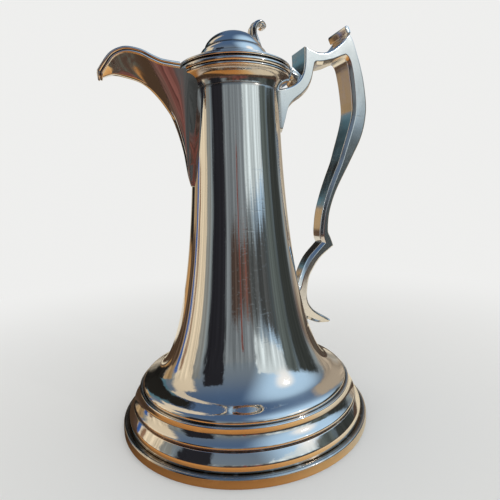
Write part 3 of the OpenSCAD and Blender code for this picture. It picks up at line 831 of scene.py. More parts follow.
@dataclass
class Vessel:
    """Foot, barrel and mouth: everything that is spun and stands still."""

    at: Datum
    neck_r: float = 32.4
    wall: float = 1.2
    barrel_pull: float = 69.0
    flare_in: float = 9.5
    flare_up: float = 7.5
    flare_angle: float = 25.6
    flare_pull: float = 28.6
    edge_out: float = 0.54
    edge_down: float = 0.56
    rim_h: float = 1.2
    rim_low: float = 0.4
    ring_in: float = 3.8
    ring_step: float = 4.2
    band_step: float = 4.3
    band_h: float = 3.1
    band_ease: float = 0.8
    step_h: float = 0.6
    nose_r: float = 1.45
    nose_up: float = 0.56
    ledge_in: float = 9.0
    foot_wall: float = 1.4
    flange_t: float = 2.3
    flange_ease: float = 1.5
    plate_in: float = 0.6
    plate_t: float = 1.2
    bead_hi: float = 1.6
    bead_lo: float = 1.3
    bead_lap: float = 0.3
    bead_in: float = 1.1
    mouth_wall: float = 0.6
    port_half: float = 4.4
    port_top: float = -4.0
    port_low: float = -40.0
    port_deep: float = 4.0
    round_faces: int = 224

    def body_line(self) -> np.ndarray:
        """Outer profile of barrel, flare and dome, running downwards."""
        at, angle = self.at, math.radians(self.flare_angle)
        slope = np.array([math.cos(angle), -math.sin(angle)])
        flare = np.array([at.edge_r - self.flare_in, at.foot_h + self.flare_up])
        barrel = cubic((self.neck_r, at.body_h), (self.neck_r, at.body_h - self.barrel_pull),
                       flare - self.flare_pull * slope, flare, 110)
        edge = cubic(flare, flare + self.edge_out * self.flare_in * slope,
                     (at.edge_r, at.foot_h + self.edge_down * self.flare_up),
                     (at.edge_r, at.foot_h + self.rim_h), 28)
        rim = [[at.edge_r, at.foot_h + self.rim_low], [at.edge_r, at.foot_h]]
        return np.vstack([barrel, edge[1:], rim])

    def mouth_line(self) -> np.ndarray:
        """Outer profile of the mouth ring, running downwards: two beads over a hollow."""
        at, hi, lo = self.at, self.bead_hi, self.bead_lo
        hi_z = at.mouth_z - hi
        lo_z = hi_z - hi - lo + self.bead_lap
        lo_x = at.mouth_r - self.bead_in - lo
        hollow = cubic((lo_x - 0.6, lo_z - lo), (self.neck_r + 3.2, lo_z - lo - 0.8),
                       (self.neck_r + 0.05, at.body_h + 5.5), (self.neck_r, at.body_h), 44)
        return np.vstack([bead(at.mouth_r - hi, hi_z, hi, 90, -60),
                          bead(lo_x, lo_z, lo, 50, -70), hollow])

    def mouth_seams(self) -> tuple:
        """Places on the mouth ring where film gathers: its foot, its top and between its beads."""
        at = self.at
        between = at.mouth_z - 2 * self.bead_hi
        return ((self.neck_r, at.body_h, 0.9), (at.mouth_r - 2.2, at.mouth_z, 1.2),
                (at.mouth_r - 1.4, between + 0.2, 0.6))

    def outer_line(self) -> np.ndarray:
        """Outer profile from the mouth to the foot's ledge."""
        return np.vstack([self.mouth_line(), self.body_line()[1:]])

    def wall_x(self, y: np.ndarray, z: np.ndarray) -> np.ndarray:
        """Distance to the middle of the vessel's wall at a height, beside its middle plane."""
        wall = radius_at(self.outer_line(), z) - SUNK
        return np.sqrt(np.maximum(wall**2 - y**2, 1))

    def mouth_in(self) -> float:
        """Inner radius of the mouth ring."""
        return self.at.mouth_r - 2 * self.bead_hi - self.mouth_wall

    def ring_r(self) -> float:
        """Outer radius of the foot's lower ring."""
        return self.at.foot_r - self.ring_in

    @staticmethod
    def ovolo(start: tuple, stop: tuple) -> np.ndarray:
        """Convex ring from start to stop, steeper as it goes down."""
        slope = within(start, stop, (0, 0), (0.285, 0.175), (0.53, 0.335), (0.76, 0.49))
        turn = within(start, stop, (0.76, 0.49), (0.89, 0.58), (1, 0.72), (1, 1))
        return np.vstack([cubic(*slope, 16), cubic(*turn, 20)[1:]])

    @staticmethod
    def cavetto(start: tuple, stop: tuple) -> np.ndarray:
        """Hollow ring from start to stop that starts upright and sweeps out."""
        return cubic(*within(start, stop, (0, 0), (0.04, 0.36), (0.64, 0.78), (1, 1)), 30)

    def foot_profile(self) -> np.ndarray:
        """Closed profile of the stepped foot: a hollow ring with a nose over a convex ring."""
        at, thick, ring2 = self.at, self.foot_wall, self.ring_r()
        ring1 = ring2 - self.ring_step
        band = ring1 - self.band_step
        top = at.foot_h - self.band_h
        low = at.flange_h + self.nose_up * (top - at.flange_h)
        step, ease = low - self.step_h, self.band_ease
        nose = bead(ring1 - self.nose_r, low + self.nose_r, self.nose_r, 45, -60, 14)
        ledge = [[at.edge_r + d, at.foot_h] for d in (-self.ledge_in, -0.2, 0.5, 1.1)]
        return np.vstack([
            ledge, bead(band - ease, at.foot_h - ease, ease, 90, 0, 8),
            self.cavetto((band, top), nose[0]), nose[1:], [[ring1 - 0.5, step]],
            self.ovolo((ring1 + 0.4, step - 0.1), (ring2, at.flange_h + 0.4)),
            [[ring2 - 0.4, at.flange_h + 0.2], [ring2 - 0.5, at.flange_h],
             [ring2 - thick - 0.5, at.flange_h], [ring2 - thick - 1.1, at.flange_h + 2],
             [ring1 - thick - 0.4, step - 0.2], [ring1 - thick - 0.9, low + 1],
             [band - thick, top - 0.6], [band - thick - 0.6, at.foot_h - thick],
             [at.edge_r - self.ledge_in, at.foot_h - thick]]])

    def port_cutter(self) -> Piece:
        """Pear-shaped prism that pierces the barrel behind the spout."""
        t = np.linspace(0, 1, 25)
        end = np.sqrt(np.clip(1 - (np.maximum(t - 0.8, 0) / 0.2) ** 2, 0, 1))
        half = self.port_half * np.sin(np.radians(90 * np.sqrt(t))) * (0.45 + 0.55 * t) * end
        z = self.at.body_h + self.port_low + (self.port_top - self.port_low) * t
        ring = np.concatenate([np.stack([half, z], 1), np.stack([-half, z], 1)[-2:0:-1]])
        n = len(ring)
        ends = (-self.neck_r - self.port_deep, -self.port_deep)
        points = [[x, y, h] for x in ends for y, h in ring]
        sides = [(i, (i + 1) % n, n + (i + 1) % n, n + i) for i in range(n)]
        caps = [tuple(range(n)), tuple(range(2 * n - 1, n - 1, -1))]
        return settle(new_piece("port_cutter", np.array(points), sides + caps))

    def barrel(self, shop: Workshop) -> Piece:
        """Barrel, flare and dome as one shell, pierced behind the spout."""
        at, outer = self.at, self.body_line()
        inner = beside(outer, self.wall)[::3]
        inner[:, 1] = np.maximum(inner[:, 1], at.foot_h)
        barrel = shop.spun.piece(
            "barrel", np.vstack([outer, inner[::-1]]), shop.finish[Slot.SPUN], self.round_faces,
            ((at.edge_r, at.foot_h, 0.5), (self.neck_r, at.body_h, 0.7)))
        cutter = self.port_cutter()
        hole = barrel.modifiers.new("port", "BOOLEAN")
        hole.operation, hole.object, hole.solver = "DIFFERENCE", cutter, "EXACT"
        settle(apply_modifiers(barrel), SpunShape.sharp)
        bpy.data.objects.remove(cutter)
        return barrel

    def flange_profile(self) -> np.ndarray:
        """Closed profile of the upright flange that the ewer stands on."""
        at, ring, ease = self.at, self.ring_r(), self.flange_ease
        seat = ring - self.flange_t
        top = [[ring + d, at.flange_h] for d in (1.8, 1.2, 0.6, 0.0, -0.6)]
        return np.vstack([[[seat, 0], [at.foot_r, 0]],
                          bead(at.foot_r - ease, at.flange_h - ease, ease, 0, 90),
                          top, [[seat, at.flange_h]]])

    def mouth_profile(self) -> np.ndarray:
        """Closed profile of the mouth ring."""
        at, rim, bore = self.at, self.mouth_in(), self.neck_r - self.wall
        under = at.mouth_z - 2 * self.bead_hi - 2 * self.bead_lo + self.bead_lap
        hollow = cubic((rim, under + 1.4), (rim - 1.6, under - 1), (bore - 0.4, at.body_h + 5),
                       (bore, at.body_h), 16)
        inside = np.vstack([[[rim, at.mouth_z], [rim, under + 1.6]], hollow])
        return np.vstack([self.mouth_line(), inside[::-1]])

    def build(self, shop: Workshop) -> None:
        """Builds and dresses the foot, the barrel and the mouth."""
        at, joint = self.at, self.ring_r() - 0.5
        shop.dress(self.barrel(shop), Body.EWER, Slot.SPUN, "body_shell")
        plate_r, plate_z = at.edge_r - self.wall - self.plate_in, at.foot_h + self.plate_t
        plate = np.array([[0, plate_z], [plate_r, plate_z], [plate_r, at.foot_h], [0, at.foot_h]])
        shop.spin("base_disc", plate, Body.EWER, Slot.SPUN, "base_plate")
        shop.spin("stepped_foot", self.foot_profile(), Body.EWER, Slot.SPUN, "foot", reach=0.7,
                  segments=self.round_faces,
                  seams=((at.edge_r, at.foot_h, 1.4), (joint, at.flange_h, 0.6)))
        shop.spin("foot_flange", self.flange_profile(), Body.EWER, Slot.WIRE, "foot_wire",
                  segments=self.round_faces, seams=((joint, at.flange_h, 5.2),))
        shop.spin("mouth_moulding", self.mouth_profile(), Body.EWER, Slot.WIRE, "mouth_ring",
                  seams=self.mouth_seams())


@dataclass
class Spout:
    """Open beak with a narrow keel and a two-bead moulding along its edge."""

    at: Datum
    vessel: Vessel
    reach: float = 93.8
    half: float = 11.8
    root_out: float = 5.0
    keel_half: float = 2.3
    keel_least: float = 0.2
    keel_taper: float = 0.16
    keel_most: float = 0.55
    keel_nose: float = 0.1
    side_bow: float = 1.35
    side_spread: float = 1.7
    drop: float = 67.0
    wall: float = 1.2
    bore_half: float = 0.12
    edge_h: float = 4.0
    edge_over: float = 1.5
    nose: float = 2.4
    stations: int = 96
    side_steps: int = 22
    inner_film: float = 0.35
    root_film: float = 0.4
    wire_from: float = 0.1
    wire_steps: int = 84
    lip_steps: int = 25
    lip_drop: tuple = (0.0, 0.0, -2.2)
    lip_up: tuple = (-0.74, 0.0, -0.08)
    lip_out: tuple = (0.1, 0.0, -0.9)
    ring_gap: float = 0.35
    edge_knots: tuple = (
        (-0.1, -3.3), (0.03, -3.1), (0.165, -2.7), (0.29, -1.9), (0.415, 0.4), (0.536, 3.1),
        (0.679, 4.3), (0.776, 3.2), (0.859, 0.6), (0.931, -4.1), (0.995, -8.8))
    width_knots: tuple = (1, 0.99, 0.97, 0.93, 0.87, 0.8, 0.69, 0.6, 0.5, 0.38, 0.19)
    keel_knots: tuple = (
        (-0.018, 0), (0.012, 0.104), (0.028, 0.252), (0.054, 0.387), (0.096, 0.542),
        (0.153, 0.674), (0.242, 0.794), (0.329, 0.891), (0.447, 0.988), (0.566, 1.045),
        (0.737, 1.079), (0.871, 1.089), (0.996, 1.054))

    def edge(self, s: np.ndarray) -> np.ndarray:
        """Edge line seen from the side, from the mouth (0) to the lip (1)."""
        span = self.reach - self.nose - self.at.mouth_r
        knots = [(-self.at.mouth_r - span * x, self.at.mouth_z + z) for x, z in self.edge_knots]
        return along(knots, s)

    def edge_half(self, s: np.ndarray) -> np.ndarray:
        """Half width of the edge."""
        return self.half * along(self.width_knots, s)[:, 0]

    def keel(self, s: np.ndarray) -> np.ndarray:
        """Keel line seen from the side."""
        root, low = self.vessel.neck_r + self.root_out, self.at.body_h - self.drop
        span = self.reach - self.nose - root
        return along([(-root - span * x, low + self.drop * z) for x, z in self.keel_knots], s)

    def side_half(self, s: np.ndarray, t: np.ndarray) -> np.ndarray:
        """Half width between keel (t = 0) and edge (t = 1): a round nose, then a hollow side."""
        w = self.edge_half(s)[:, None]
        taper = np.clip(s / self.keel_taper, 0, 1)[:, None]
        grown = self.keel_least + (1 - self.keel_least) * taper * (2 - taper)
        k = np.minimum(self.keel_half * grown, self.keel_most * w)
        q = np.minimum(1, t / self.keel_nose)
        return (w - k) * t**self.side_bow + k * np.sqrt(1 - (1 - q) ** 2)

    def rings(self) -> tuple[np.ndarray, np.ndarray]:
        """Rings of the beak with their hollows, the first one sunk in the vessel's wall."""
        s = np.linspace(0, 1, self.stations)
        t = (np.arange(self.side_steps + 1) / self.side_steps) ** self.side_spread
        keel, edge, run = self.keel(s), self.edge(s), heading(self.keel, s)
        lining = keel + self.wall * np.stack([run[:, 1], -run[:, 0]], 1)
        y = self.side_half(s, t[None, :])
        skin, bore = (line[:, None, :] + (edge - line)[:, None, :] * t[None, :, None]
                      for line in (keel, lining))
        outer = upright(skin[..., 0], y, skin[..., 1])
        inner = upright(bore[..., 0], np.maximum(self.bore_half, y - self.wall), bore[..., 1])
        inner[:, 0, 1] = 0
        rings = np.concatenate(
            [outer[:, :0:-1] * FLIP, outer, inner[:, ::-1], inner[:, 1:] * FLIP], 1)
        root = rings[:1].copy()
        root[..., 0] = -self.vessel.wall_x(root[..., 1], root[..., 2])
        rings = np.concatenate([root, rings])
        groove = np.zeros(rings.shape[:2])
        groove[:, 2 * self.side_steps + 1:] = self.inner_film
        groove[0] += self.root_film
        return rings, groove

    def section(self) -> np.ndarray:
        """Closed section of the edge moulding: a thin bead below a fuller one."""
        h, out, wall = self.edge_h, self.edge_over, self.wall
        under, over = 0.2 * h, 0.28 * h
        return np.vstack([[[-wall, 0]], bead(out - 0.15 - under, under, under, -90, 60, 10),
                          bead(out - over, h - over, over, -60, 90, 14),
                          [[0.7 - wall, h], [-wall, h - 0.7]]])

    def edge_path(self) -> tuple[np.ndarray, np.ndarray, np.ndarray]:
        """Path of the moulding from the mouth round the lip and back, with its two directions."""
        s = np.linspace(self.wire_from, 1, self.wire_steps)
        mid, run = self.edge(s), heading(self.edge, s)
        side = upright(mid[:, 0], self.edge_half(s), mid[:, 1])
        up = upright(run[:, 1], 0.0, -run[:, 0])
        across = np.tile([0.0, 1.0, 0.0], (len(s), 1))
        turn = np.radians(np.linspace(0, 180, self.lip_steps))[1:-1, None]
        out, back, tip = np.sin(turn), np.cos(turn), side[-1] * [1, 0, 1]
        nose = tip * (1 - out) + (tip + self.lip_drop) * out + back * side[-1] * [0, 1, 0]
        nose_up = up[-1] * (1 - out) + out * self.lip_up
        nose_across = back * [0, 1.0, 0] + out * self.lip_out
        return (np.vstack([side, nose, (side * FLIP)[::-1]]),
                np.vstack([across, nose_across, (across * FLIP)[::-1]]),
                np.vstack([up, nose_up, up[::-1]]))

    def build(self, shop: Workshop) -> None:
        """Builds and dresses the beak and its edge moulding, which stays clear of the mouth."""
        shop.dress(loft("beak", *self.rings()), Body.EWER, Slot.SPUN, "spout")
        wire = shop.moulding.piece("beak_moulding", *self.edge_path(), self.section(),
                                   shop.finish[Slot.WIRE])
        clear = (self.at.mouth_r + self.ring_gap) * MM
        for v in wire.data.vertices:
            if math.hypot(v.co.x, v.co.y) < clear:
                v.co.x = -math.sqrt(clear**2 - v.co.y**2)
        shop.dress(wire, Body.EWER, Slot.WIRE, "spout_wire")


class Origin(Enum):
    """Places that the outlines of the handle's castings are set out from."""

    AXIS = "foot of the axis"
    TOP = "top of the barrel"
    FACE = "outer face of the grip"
    PALM = "inner face of the grip"
    HEEL = "heel"
    NECK = "inner side of the heel"
    TAIL = "lower barrel"


@dataclass
class Handle:
    """Squared scroll handle: three castings and a bar across the crest."""

    at: Datum
    vessel: Vessel
    arm_w: float = 20.9
    heel_w: float = 14.5
    grip_t: float = 13.4
    heel_t: float = 7.4
    heel_up: float = 93.5
    heel_in: float = 32.7
    neck_in: float = 37.7
    tail_up: float = 46.0
    tail_sunk: float = 0.7
    chamfer_out: float = 1.2
    chamfer_in: float = 2.4
    ease: float = 0.38
    ease_share: float = 0.2
    flat: float = 2.1
    edge_marks: tuple = (0.0, 0.7, 1.0, 0.7, 0.0)
    root_film: float = 0.9
    crest_at: tuple = (-18.4, 52)
    crest_half: float = 1.1
    roll_r: float = 1.9
    roll_rise: float = 3.2
    roll_lean: float = 27.0
    roll_over: float = 0.2
    roll_ends: tuple = ((0.0, 0.86), (0.12, 0.94), (0.4, 1.0))

    def line(self, *legs: tuple) -> np.ndarray:
        """Smooth line seen from the side.

        Args:
            legs: each a place and the points that are set out from it, by reach and height.

        Returns:
            The points of the line.
        """
        at, heel_z = self.at, self.heel_z()
        root = float(radius_at(self.vessel.body_line(), at.foot_h + self.tail_up))
        origins = {Origin.AXIS: (0.0, 0.0), Origin.TOP: (self.vessel.neck_r, at.body_h),
                   Origin.FACE: (at.grip_reach, at.body_h),
                   Origin.PALM: (at.grip_reach - self.grip_t, at.body_h),
                   Origin.HEEL: (at.grip_reach - self.heel_in, heel_z),
                   Origin.NECK: (at.grip_reach - self.neck_in - self.heel_t, heel_z),
                   Origin.TAIL: (root, at.foot_h)}
        return smooth([(origins[place][0] + x, origins[place][1] + z)
                       for place, *points in legs for x, z in points])

    def heel_z(self) -> float:
        """Height of the heel."""
        return self.at.foot_h + self.heel_up

    def half(self, z: np.ndarray) -> np.ndarray:
        """Half width of the handle at a height."""
        rise, span = z - self.heel_z(), self.at.body_h - self.heel_z()
        return (self.heel_w + (self.arm_w - self.heel_w) * rise / span) / 2

    def easing(self, corner: np.ndarray, other: np.ndarray) -> tuple[np.ndarray, np.ndarray]:
        """Direction from a corner to its neighbour, and the reach of its easing that way."""
        away = other - corner
        length = np.linalg.norm(away, axis=1)[:, None]
        return away / length, np.minimum(self.ease, self.ease_share * length)

    def bar(self, name: str, outer: np.ndarray, inner: np.ndarray, root: bool = False) -> Piece:
        """Chamfered bar between two lines seen from the side.

        Args:
            name: name of the piece.
            outer: points of the outer line.
            inner: points of the inner line, one for each outer one.
            root: whether the first ring runs on into the vessel's wall.

        Returns:
            The bar, with eased edges and narrow flats beside them that keep the faces true.
        """
        depth = np.linalg.norm(inner - outer, axis=1)[:, None]
        inwards = (inner - outer) / depth
        a, b = np.minimum(self.chamfer_out, 0.3 * depth), np.minimum(self.chamfer_in, 0.4 * depth)
        lines = ((outer, a), (outer + a * inwards, 0 * a), (inner - b * inwards, 0 * a), (inner, b))
        corners = [upright(line[:, 0], inset[:, 0] - self.half(line[:, 1]), line[:, 1])
                   for line, inset in lines]
        corners += [c * FLIP for c in corners[::-1]]
        points = []
        for k, c in enumerate(corners):
            beside_it = (corners[k - 1], corners[(k + 1) % len(corners)])
            (d1, e1), (d2, e2) = (self.easing(c, other) for other in beside_it)
            p0, p2 = c + d1 * e1, c + d2 * e2
            points += [c + d1 * self.flat * e1, p0, (p0 + 2 * c + p2) / 4, p2,
                       c + d2 * self.flat * e2]
        rings = np.stack(points, 1)
        ridge = np.tile(self.edge_marks, (len(rings), len(corners)))
        groove = np.zeros(ridge.shape)
        if root:
            sunk = rings[:1].copy()
            sunk[..., 0] = self.vessel.wall_x(sunk[..., 1], sunk[..., 2])
            rings = np.concatenate([sunk, rings])
            groove = np.concatenate([np.full_like(groove[:1], self.root_film), groove])
            ridge = np.concatenate([ridge[:1] * 0, ridge])
        return loft(name, rings, groove, ridge)

    def arm(self) -> Piece:
        """Upper casting: root leaf, rising arm and horn, up to the saddle's seam."""
        upper = self.line((Origin.TOP, (0.6, 5), (4.5, 5.7), (8.4, 6.9), (13.2, 9.3), (17.8, 13.5),
                           (20.7, 19.2), (21.9, 26), (22.1, 32.5), (22, 37.9)))
        lower = self.line((Origin.TOP, (1.8, -27), (4.2, -18.6), (6.6, -10.4), (11.2, -4.8),
                           (19, 0.7), (24.6, 6.4), (28.2, 13), (30, 19.4), (31.4, 24.6)))
        saddle = self.line((Origin.TOP, (22, 37.9), (25.8, 36.6), (31.4, 35.3), (37.6, 35.2)))
        under = self.line((Origin.TOP, (31.4, 24.6), (33, 25.8), (35.8, 26), (38.8, 26.4)))
        return self.bar("handle_upper", np.vstack([upper, saddle[1:]]),
                        np.vstack([lower, under[1:]]), root=True)

    def crest(self) -> tuple[np.ndarray, np.ndarray, np.ndarray]:
        """Middle of the flat on the crest, the way that its bar leans, and the way across it."""
        lean = math.radians(self.roll_lean)
        middle = np.array([self.at.grip_reach, self.at.body_h]) + self.crest_at
        return (middle, np.array([-math.sin(lean), math.cos(lean)]),
                np.array([math.cos(lean), math.sin(lean)]))

    def grip(self) -> Piece:
        """Middle casting: saddle, crest, grip and heel."""
        crest, _, aside = self.crest()
        flat = self.crest_half * aside
        top = self.line((Origin.TOP, (37.6, 35.2), (41.8, 36.1), (47.1, 38.6)),
                        (Origin.FACE, (-28.8, 42.1), (-23.4, 46.5)), (Origin.AXIS, crest - flat))
        under = self.line((Origin.TOP, (38.8, 26.4), (42.6, 27.5), (47.6, 29)),
                          (Origin.PALM, (-15.4, 31), (-11.6, 32.8), (-9, 33.8)))
        outer = self.line(
            (Origin.AXIS, crest + flat),
            (Origin.FACE, (-14, 47.8), (-10.6, 40), (-6.9, 30.8), (-3.6, 20.2), (-1.3, 9), (0, -2),
             (-0.5, -11.5), (-2.6, -21.6), (-6.5, -31.6)),
            (Origin.HEEL, (20.3, 75.9), (14.4, 65.7), (8.5, 55.9), (3, 46.1), (-1.2, 36.3),
             (-3.9, 27.3), (-5, 18.9), (-5, 11.9), (-2.7, 6.9), (0, 0)))
        inner = self.line(
            (Origin.PALM, (-8.6, 33.8), (-6.6, 32.6), (-4.8, 29.6), (-3.4, 24.4), (-1.9, 16.2),
             (-0.8, 7.4), (0, -2.2), (-0.4, -10), (-2.6, -18.6), (-6.1, -29), (-8.8, -36.5)),
            (Origin.NECK, (18.9, 70.1), (14, 59.5), (9.4, 49.1), (5.3, 38.3), (2.3, 28.3),
             (0.7, 18.9), (0, 11.5), (0.4, 6.9), (1.8, 3.7)))
        return self.bar("handle_grip_bar", np.vstack([top, outer]), np.vstack([under, inner]))

    def scroll(self) -> Piece:
        """Lower casting: scroll and flicked tail, seated in the barrel's wall."""
        outer = self.line(
            (Origin.HEEL, (0, 0), (-5.4, -3.5), (-11.5, -7.9), (-16.1, -12.5), (-19.4, -17.1)),
            (Origin.TAIL, (10.2, 71.7), (8.3, 66.9), (7, 59.9), (6.8, 52.9), (8.4, 47.2),
             (12.6, 41.6), (17.6, 37.8), (23, 34.5), (28.9, 30.6)))
        inner = self.line(
            (Origin.NECK, (1.8, 3.7), (-2.2, 0.1), (-6.2, -3.4), (-10.8, -8.1), (-14.2, -13.1)),
            (Origin.TAIL, (3.1, 75), (0.6, 69), (-2, 61.4), (-6.4, 53.4), (-6.4, 41.4),
             (2.6, 36.6), (10.2, 32.4), (18.4, 28.9), (27.4, 28.3)))
        wall = radius_at(self.vessel.body_line(), inner[:, 1]) - self.tail_sunk
        inner[:, 0] = np.maximum(inner[:, 0], wall)
        return self.bar("handle_lower", outer, inner)

    def roll(self) -> Piece:
        """Bar across the crest, round at both edges and eased at its ends."""
        crest, lean, aside = self.crest()
        seat = math.sqrt(self.roll_r**2 - self.crest_half**2)
        base = math.degrees(math.asin(seat / self.roll_r))
        right = np.vstack([bead(0, seat, self.roll_r, -base, 0, 10),
                           bead(0, seat + self.roll_rise, self.roll_r, 0, 90, 14)])
        section = np.vstack([right, (right * [-1, 1])[::-1][1:], [[0.0, 0.0]]])
        half = float(self.half(crest[1])) + self.roll_over
        middle = np.array([0, 0.6 * (seat + self.roll_rise)])
        stations = [(d - half, scale) for d, scale in self.roll_ends]
        stations += [(half - d, scale) for d, scale in self.roll_ends[::-1]]
        rings = []
        for y, scale in stations:
            flat = crest + (middle + (section - middle) * scale) @ np.stack([aside, lean])
            rings.append(upright(flat[:, 0], y, flat[:, 1]))
        return loft("crest_bar", np.array(rings))

    def build(self, shop: Workshop) -> None:
        """Builds and dresses the castings."""
        for piece, node in ((self.arm(), "handle_arm"), (self.grip(), "handle_grip"),
                            (self.scroll(), "handle_scroll"), (self.roll(), "handle_roll")):
            shop.dress(piece, Body.EWER, Slot.CAST, node)


@dataclass
class Lid:
    """Spun lid with its edge moulding, inner ring and thumbpiece."""

    at: Datum
    vessel: Vessel
    wall: float = 1.1
    brim_in: float = 1.2
    brim_h: float = 2.3
    fillet_h: float = 1.6
    sweep_r: float = 32.4
    sweep_h: float = 9.2
    tier_r: float = 25.0
    tier_up: float = 0.27
    dome_r: float = 21.6
    dome_up: float = 0.4
    edge_share: float = 0.36
    edge_in: float = 1.9
    edge_lift: float = 0.5
    bezel_h: float = 4.2
    bezel_t: float = 1.1
    bezel_gap: float = 1.5
    bezel_out: float = 1.5
    ledge_t: float = 1.2
    thumb_h: float = 10.5
    thumb_half: float = 6.6
    thumb_t: float = 5.7
    thumb_taper: float = 0.3
    thumb_sunk: float = 0.5
    tip_thin: float = 0.3
    tip_narrow: float = 0.25
    flutes: int = 3
    flute_depth: float = 0.22
    leaf_rings: int = 72
    leaf_sides: int = 64
    leaf_knots: tuple = (
        (-1.4, -1.02), (-3.6, -0.47), (-5.6, -0.02), (-6.1, 0.36), (-4.8, 0.65), (-2.2, 0.83),
        (0.5, 0.84), (2.2, 0.71), (2.7, 0.56))
    leaf_width: tuple = (0.72, 0.76, 0.86, 0.96, 1, 1, 0.94, 0.84, 0.7)

    def levels(self) -> tuple[float, float, float, float, float]:
        """Heights of the sweep's foot, tier and top and of the dome's foot, and the dome's rise."""
        low = self.at.cover_z + self.brim_h + self.fillet_h
        tier, top = low + self.tier_up * self.sweep_h, low + self.sweep_h
        dome = top + self.dome_up
        return low, tier, top, dome, self.at.lid_top - dome

    def cover_line(self) -> np.ndarray:
        """Outer profile from the middle of the dome down to the edge."""
        low, tier, top, dome, rise = self.levels()
        crown, cover, brim = self.at.lid_top, self.at.cover_z, self.at.lid_r - self.brim_in
        r, e, d, h = self.sweep_r, self.tier_r, self.dome_r, self.sweep_h
        step = 0.5 * self.fillet_h
        return np.vstack([
            cubic((0, crown), (0.4 * d, crown), (0.93 * d, dome + 0.6 * rise), (d, dome), 48),
            cubic((d + 0.4, top), (0.4 * d + 0.6 * e, top - 0.05 * h), (e, top - 0.32 * h),
                  (e, tier), 28),
            cubic((e + 0.5, tier - 0.3), (e + 1, low + 0.09 * h), (r - 3.4, low + 0.06 * h),
                  (r, low), 20),
            [[r + 0.8, low], [r + 0.8, low - step], [r + 1.6, low - step]],
            cubic((r + 1.6, low - 2 * step), (r + 3.6, cover + 0.48 * self.brim_h),
                  (brim - 2.1, cover + 0.09 * self.brim_h), (brim, cover), 20)])

    def cover_inside(self) -> np.ndarray:
        """Inner profile of the cover, running downwards."""
        low, tier, top, dome, rise = self.levels()
        t, cover, brim = self.wall, self.at.cover_z, self.at.lid_r - self.brim_in
        r, e, d, h = self.sweep_r, self.tier_r, self.dome_r, self.sweep_h
        crown = self.at.lid_top - t
        return np.vstack([
            cubic((0, crown), (0.38 * d, crown), (0.93 * d - t, dome + 0.55 * rise),
                  (d - t, dome - 0.2), 24),
            cubic((d - 0.5 * t, top - 0.8 * t),
                  (0.4 * d + 0.6 * e - 0.7 * t, top - 0.05 * h - 0.9 * t),
                  (e - t, top - 0.32 * h - 0.4 * t), (e - t, tier), 14),
            cubic((e - 0.7 * t, tier - 0.9 * t), (e + 0.6 * t, low + 0.09 * h - t),
                  (r - 3.4, low + 0.06 * h - t), (r - 0.55 * t, low - 0.9 * t), 12),
            cubic((r + 1, low - self.fillet_h - 0.9 * t),
                  (r + 2.8, cover + 0.48 * self.brim_h - 0.9 * t), (brim - 3.6, cover),
                  (brim - 1.8, cover), 10)])

    def thumbpiece(self) -> Piece:
        """Fluted leaf that leans back and curls over, its foot seated in the dome's wall."""
        top = self.at.lid_top
        knots = [(self.dome_r + x, top + self.thumb_h * z) for x, z in self.leaf_knots]
        s = np.linspace(0, 1, self.leaf_rings)
        mid, run = along(knots, s), heading(lambda at: along(knots, at), s)
        thick = self.thumb_t * (1 - self.thumb_taper * s)[:, None]
        a = np.radians(np.arange(self.leaf_sides) * 360 / self.leaf_sides)[None, :]
        y = self.thumb_half * along(self.leaf_width, s) * np.cos(a)
        wave = np.cos(self.flutes * math.pi * np.cos(a))
        wave = 1 - self.flute_depth + self.flute_depth * wave
        d = 0.5 * thick * np.sin(a) * np.where(np.sin(a) > 0, wave, 1)
        tip = np.clip((s - 0.9) / 0.1, 0, 1)[:, None] ** 2
        d, y = d * (1 - self.tip_thin * tip), y * (1 - self.tip_narrow * tip)
        rings = upright(mid[:, :1] - run[:, 1:] * d, y, mid[:, 1:] + run[:, :1] * d)
        seat = radius_at(self.cover_line(), rings[..., 2]) - self.thumb_sunk
        seat = np.where(rings[..., 2] > top, 0, seat)
        wall = np.sqrt(np.maximum(seat**2 - rings[..., 1] ** 2, 0))
        rings[..., 0] = np.maximum(rings[..., 0], wall)
        hollow = np.where(np.sin(a) > 0.05, np.clip((0.8 - wave) / 0.24, 0, 1), 0)
        return loft("thumb_leaf", rings, np.broadcast_to(hollow, rings.shape[:2]))

    def build(self, shop: Workshop) -> None:
        """Builds and dresses the lid."""
        at = self.at
        cover = np.vstack([self.cover_line(), self.cover_inside()[::-1]])
        shop.spin("lid_dome", cover, Body.LID, Slot.SPUN, "lid_cover")
        brim, round_r = at.lid_r - self.brim_in, self.edge_share * (at.cover_z - at.lid_z)
        bezel_r, ledge = self.vessel.mouth_in() - self.bezel_gap, at.lid_z + self.ledge_t
        edge_r, edge_z = at.lid_r - self.edge_in, at.lid_z + self.edge_lift
        edge = np.vstack([[[bezel_r + 0.1, at.lid_z], [edge_r, at.lid_z], [edge_r, edge_z]],
                          bead(at.lid_r - round_r, at.cover_z - round_r - 0.1, round_r, -80, 80),
                          [[brim + 0.2, at.cover_z], [brim - 2, at.cover_z], [brim - 2, ledge],
                           [bezel_r + 0.1, ledge]]])
        shop.spin("lid_moulding", edge, Body.LID, Slot.WIRE, "lid_wire",
                  seams=((edge_r, edge_z, 1.1),))
        foot, inner, out = at.lid_z - self.bezel_h, bezel_r - self.bezel_t, bezel_r + self.bezel_out
        bezel = np.array([[inner, ledge + 1], [inner, foot], [bezel_r, foot], [bezel_r, ledge],
                          [out, ledge], [out, ledge + 1]])
        shop.spin("lid_inner_ring", bezel, Body.LID, Slot.WIRE, "lid_bezel")
        shop.dress(self.thumbpiece(), Body.LID, Slot.CAST, "thumbpiece")


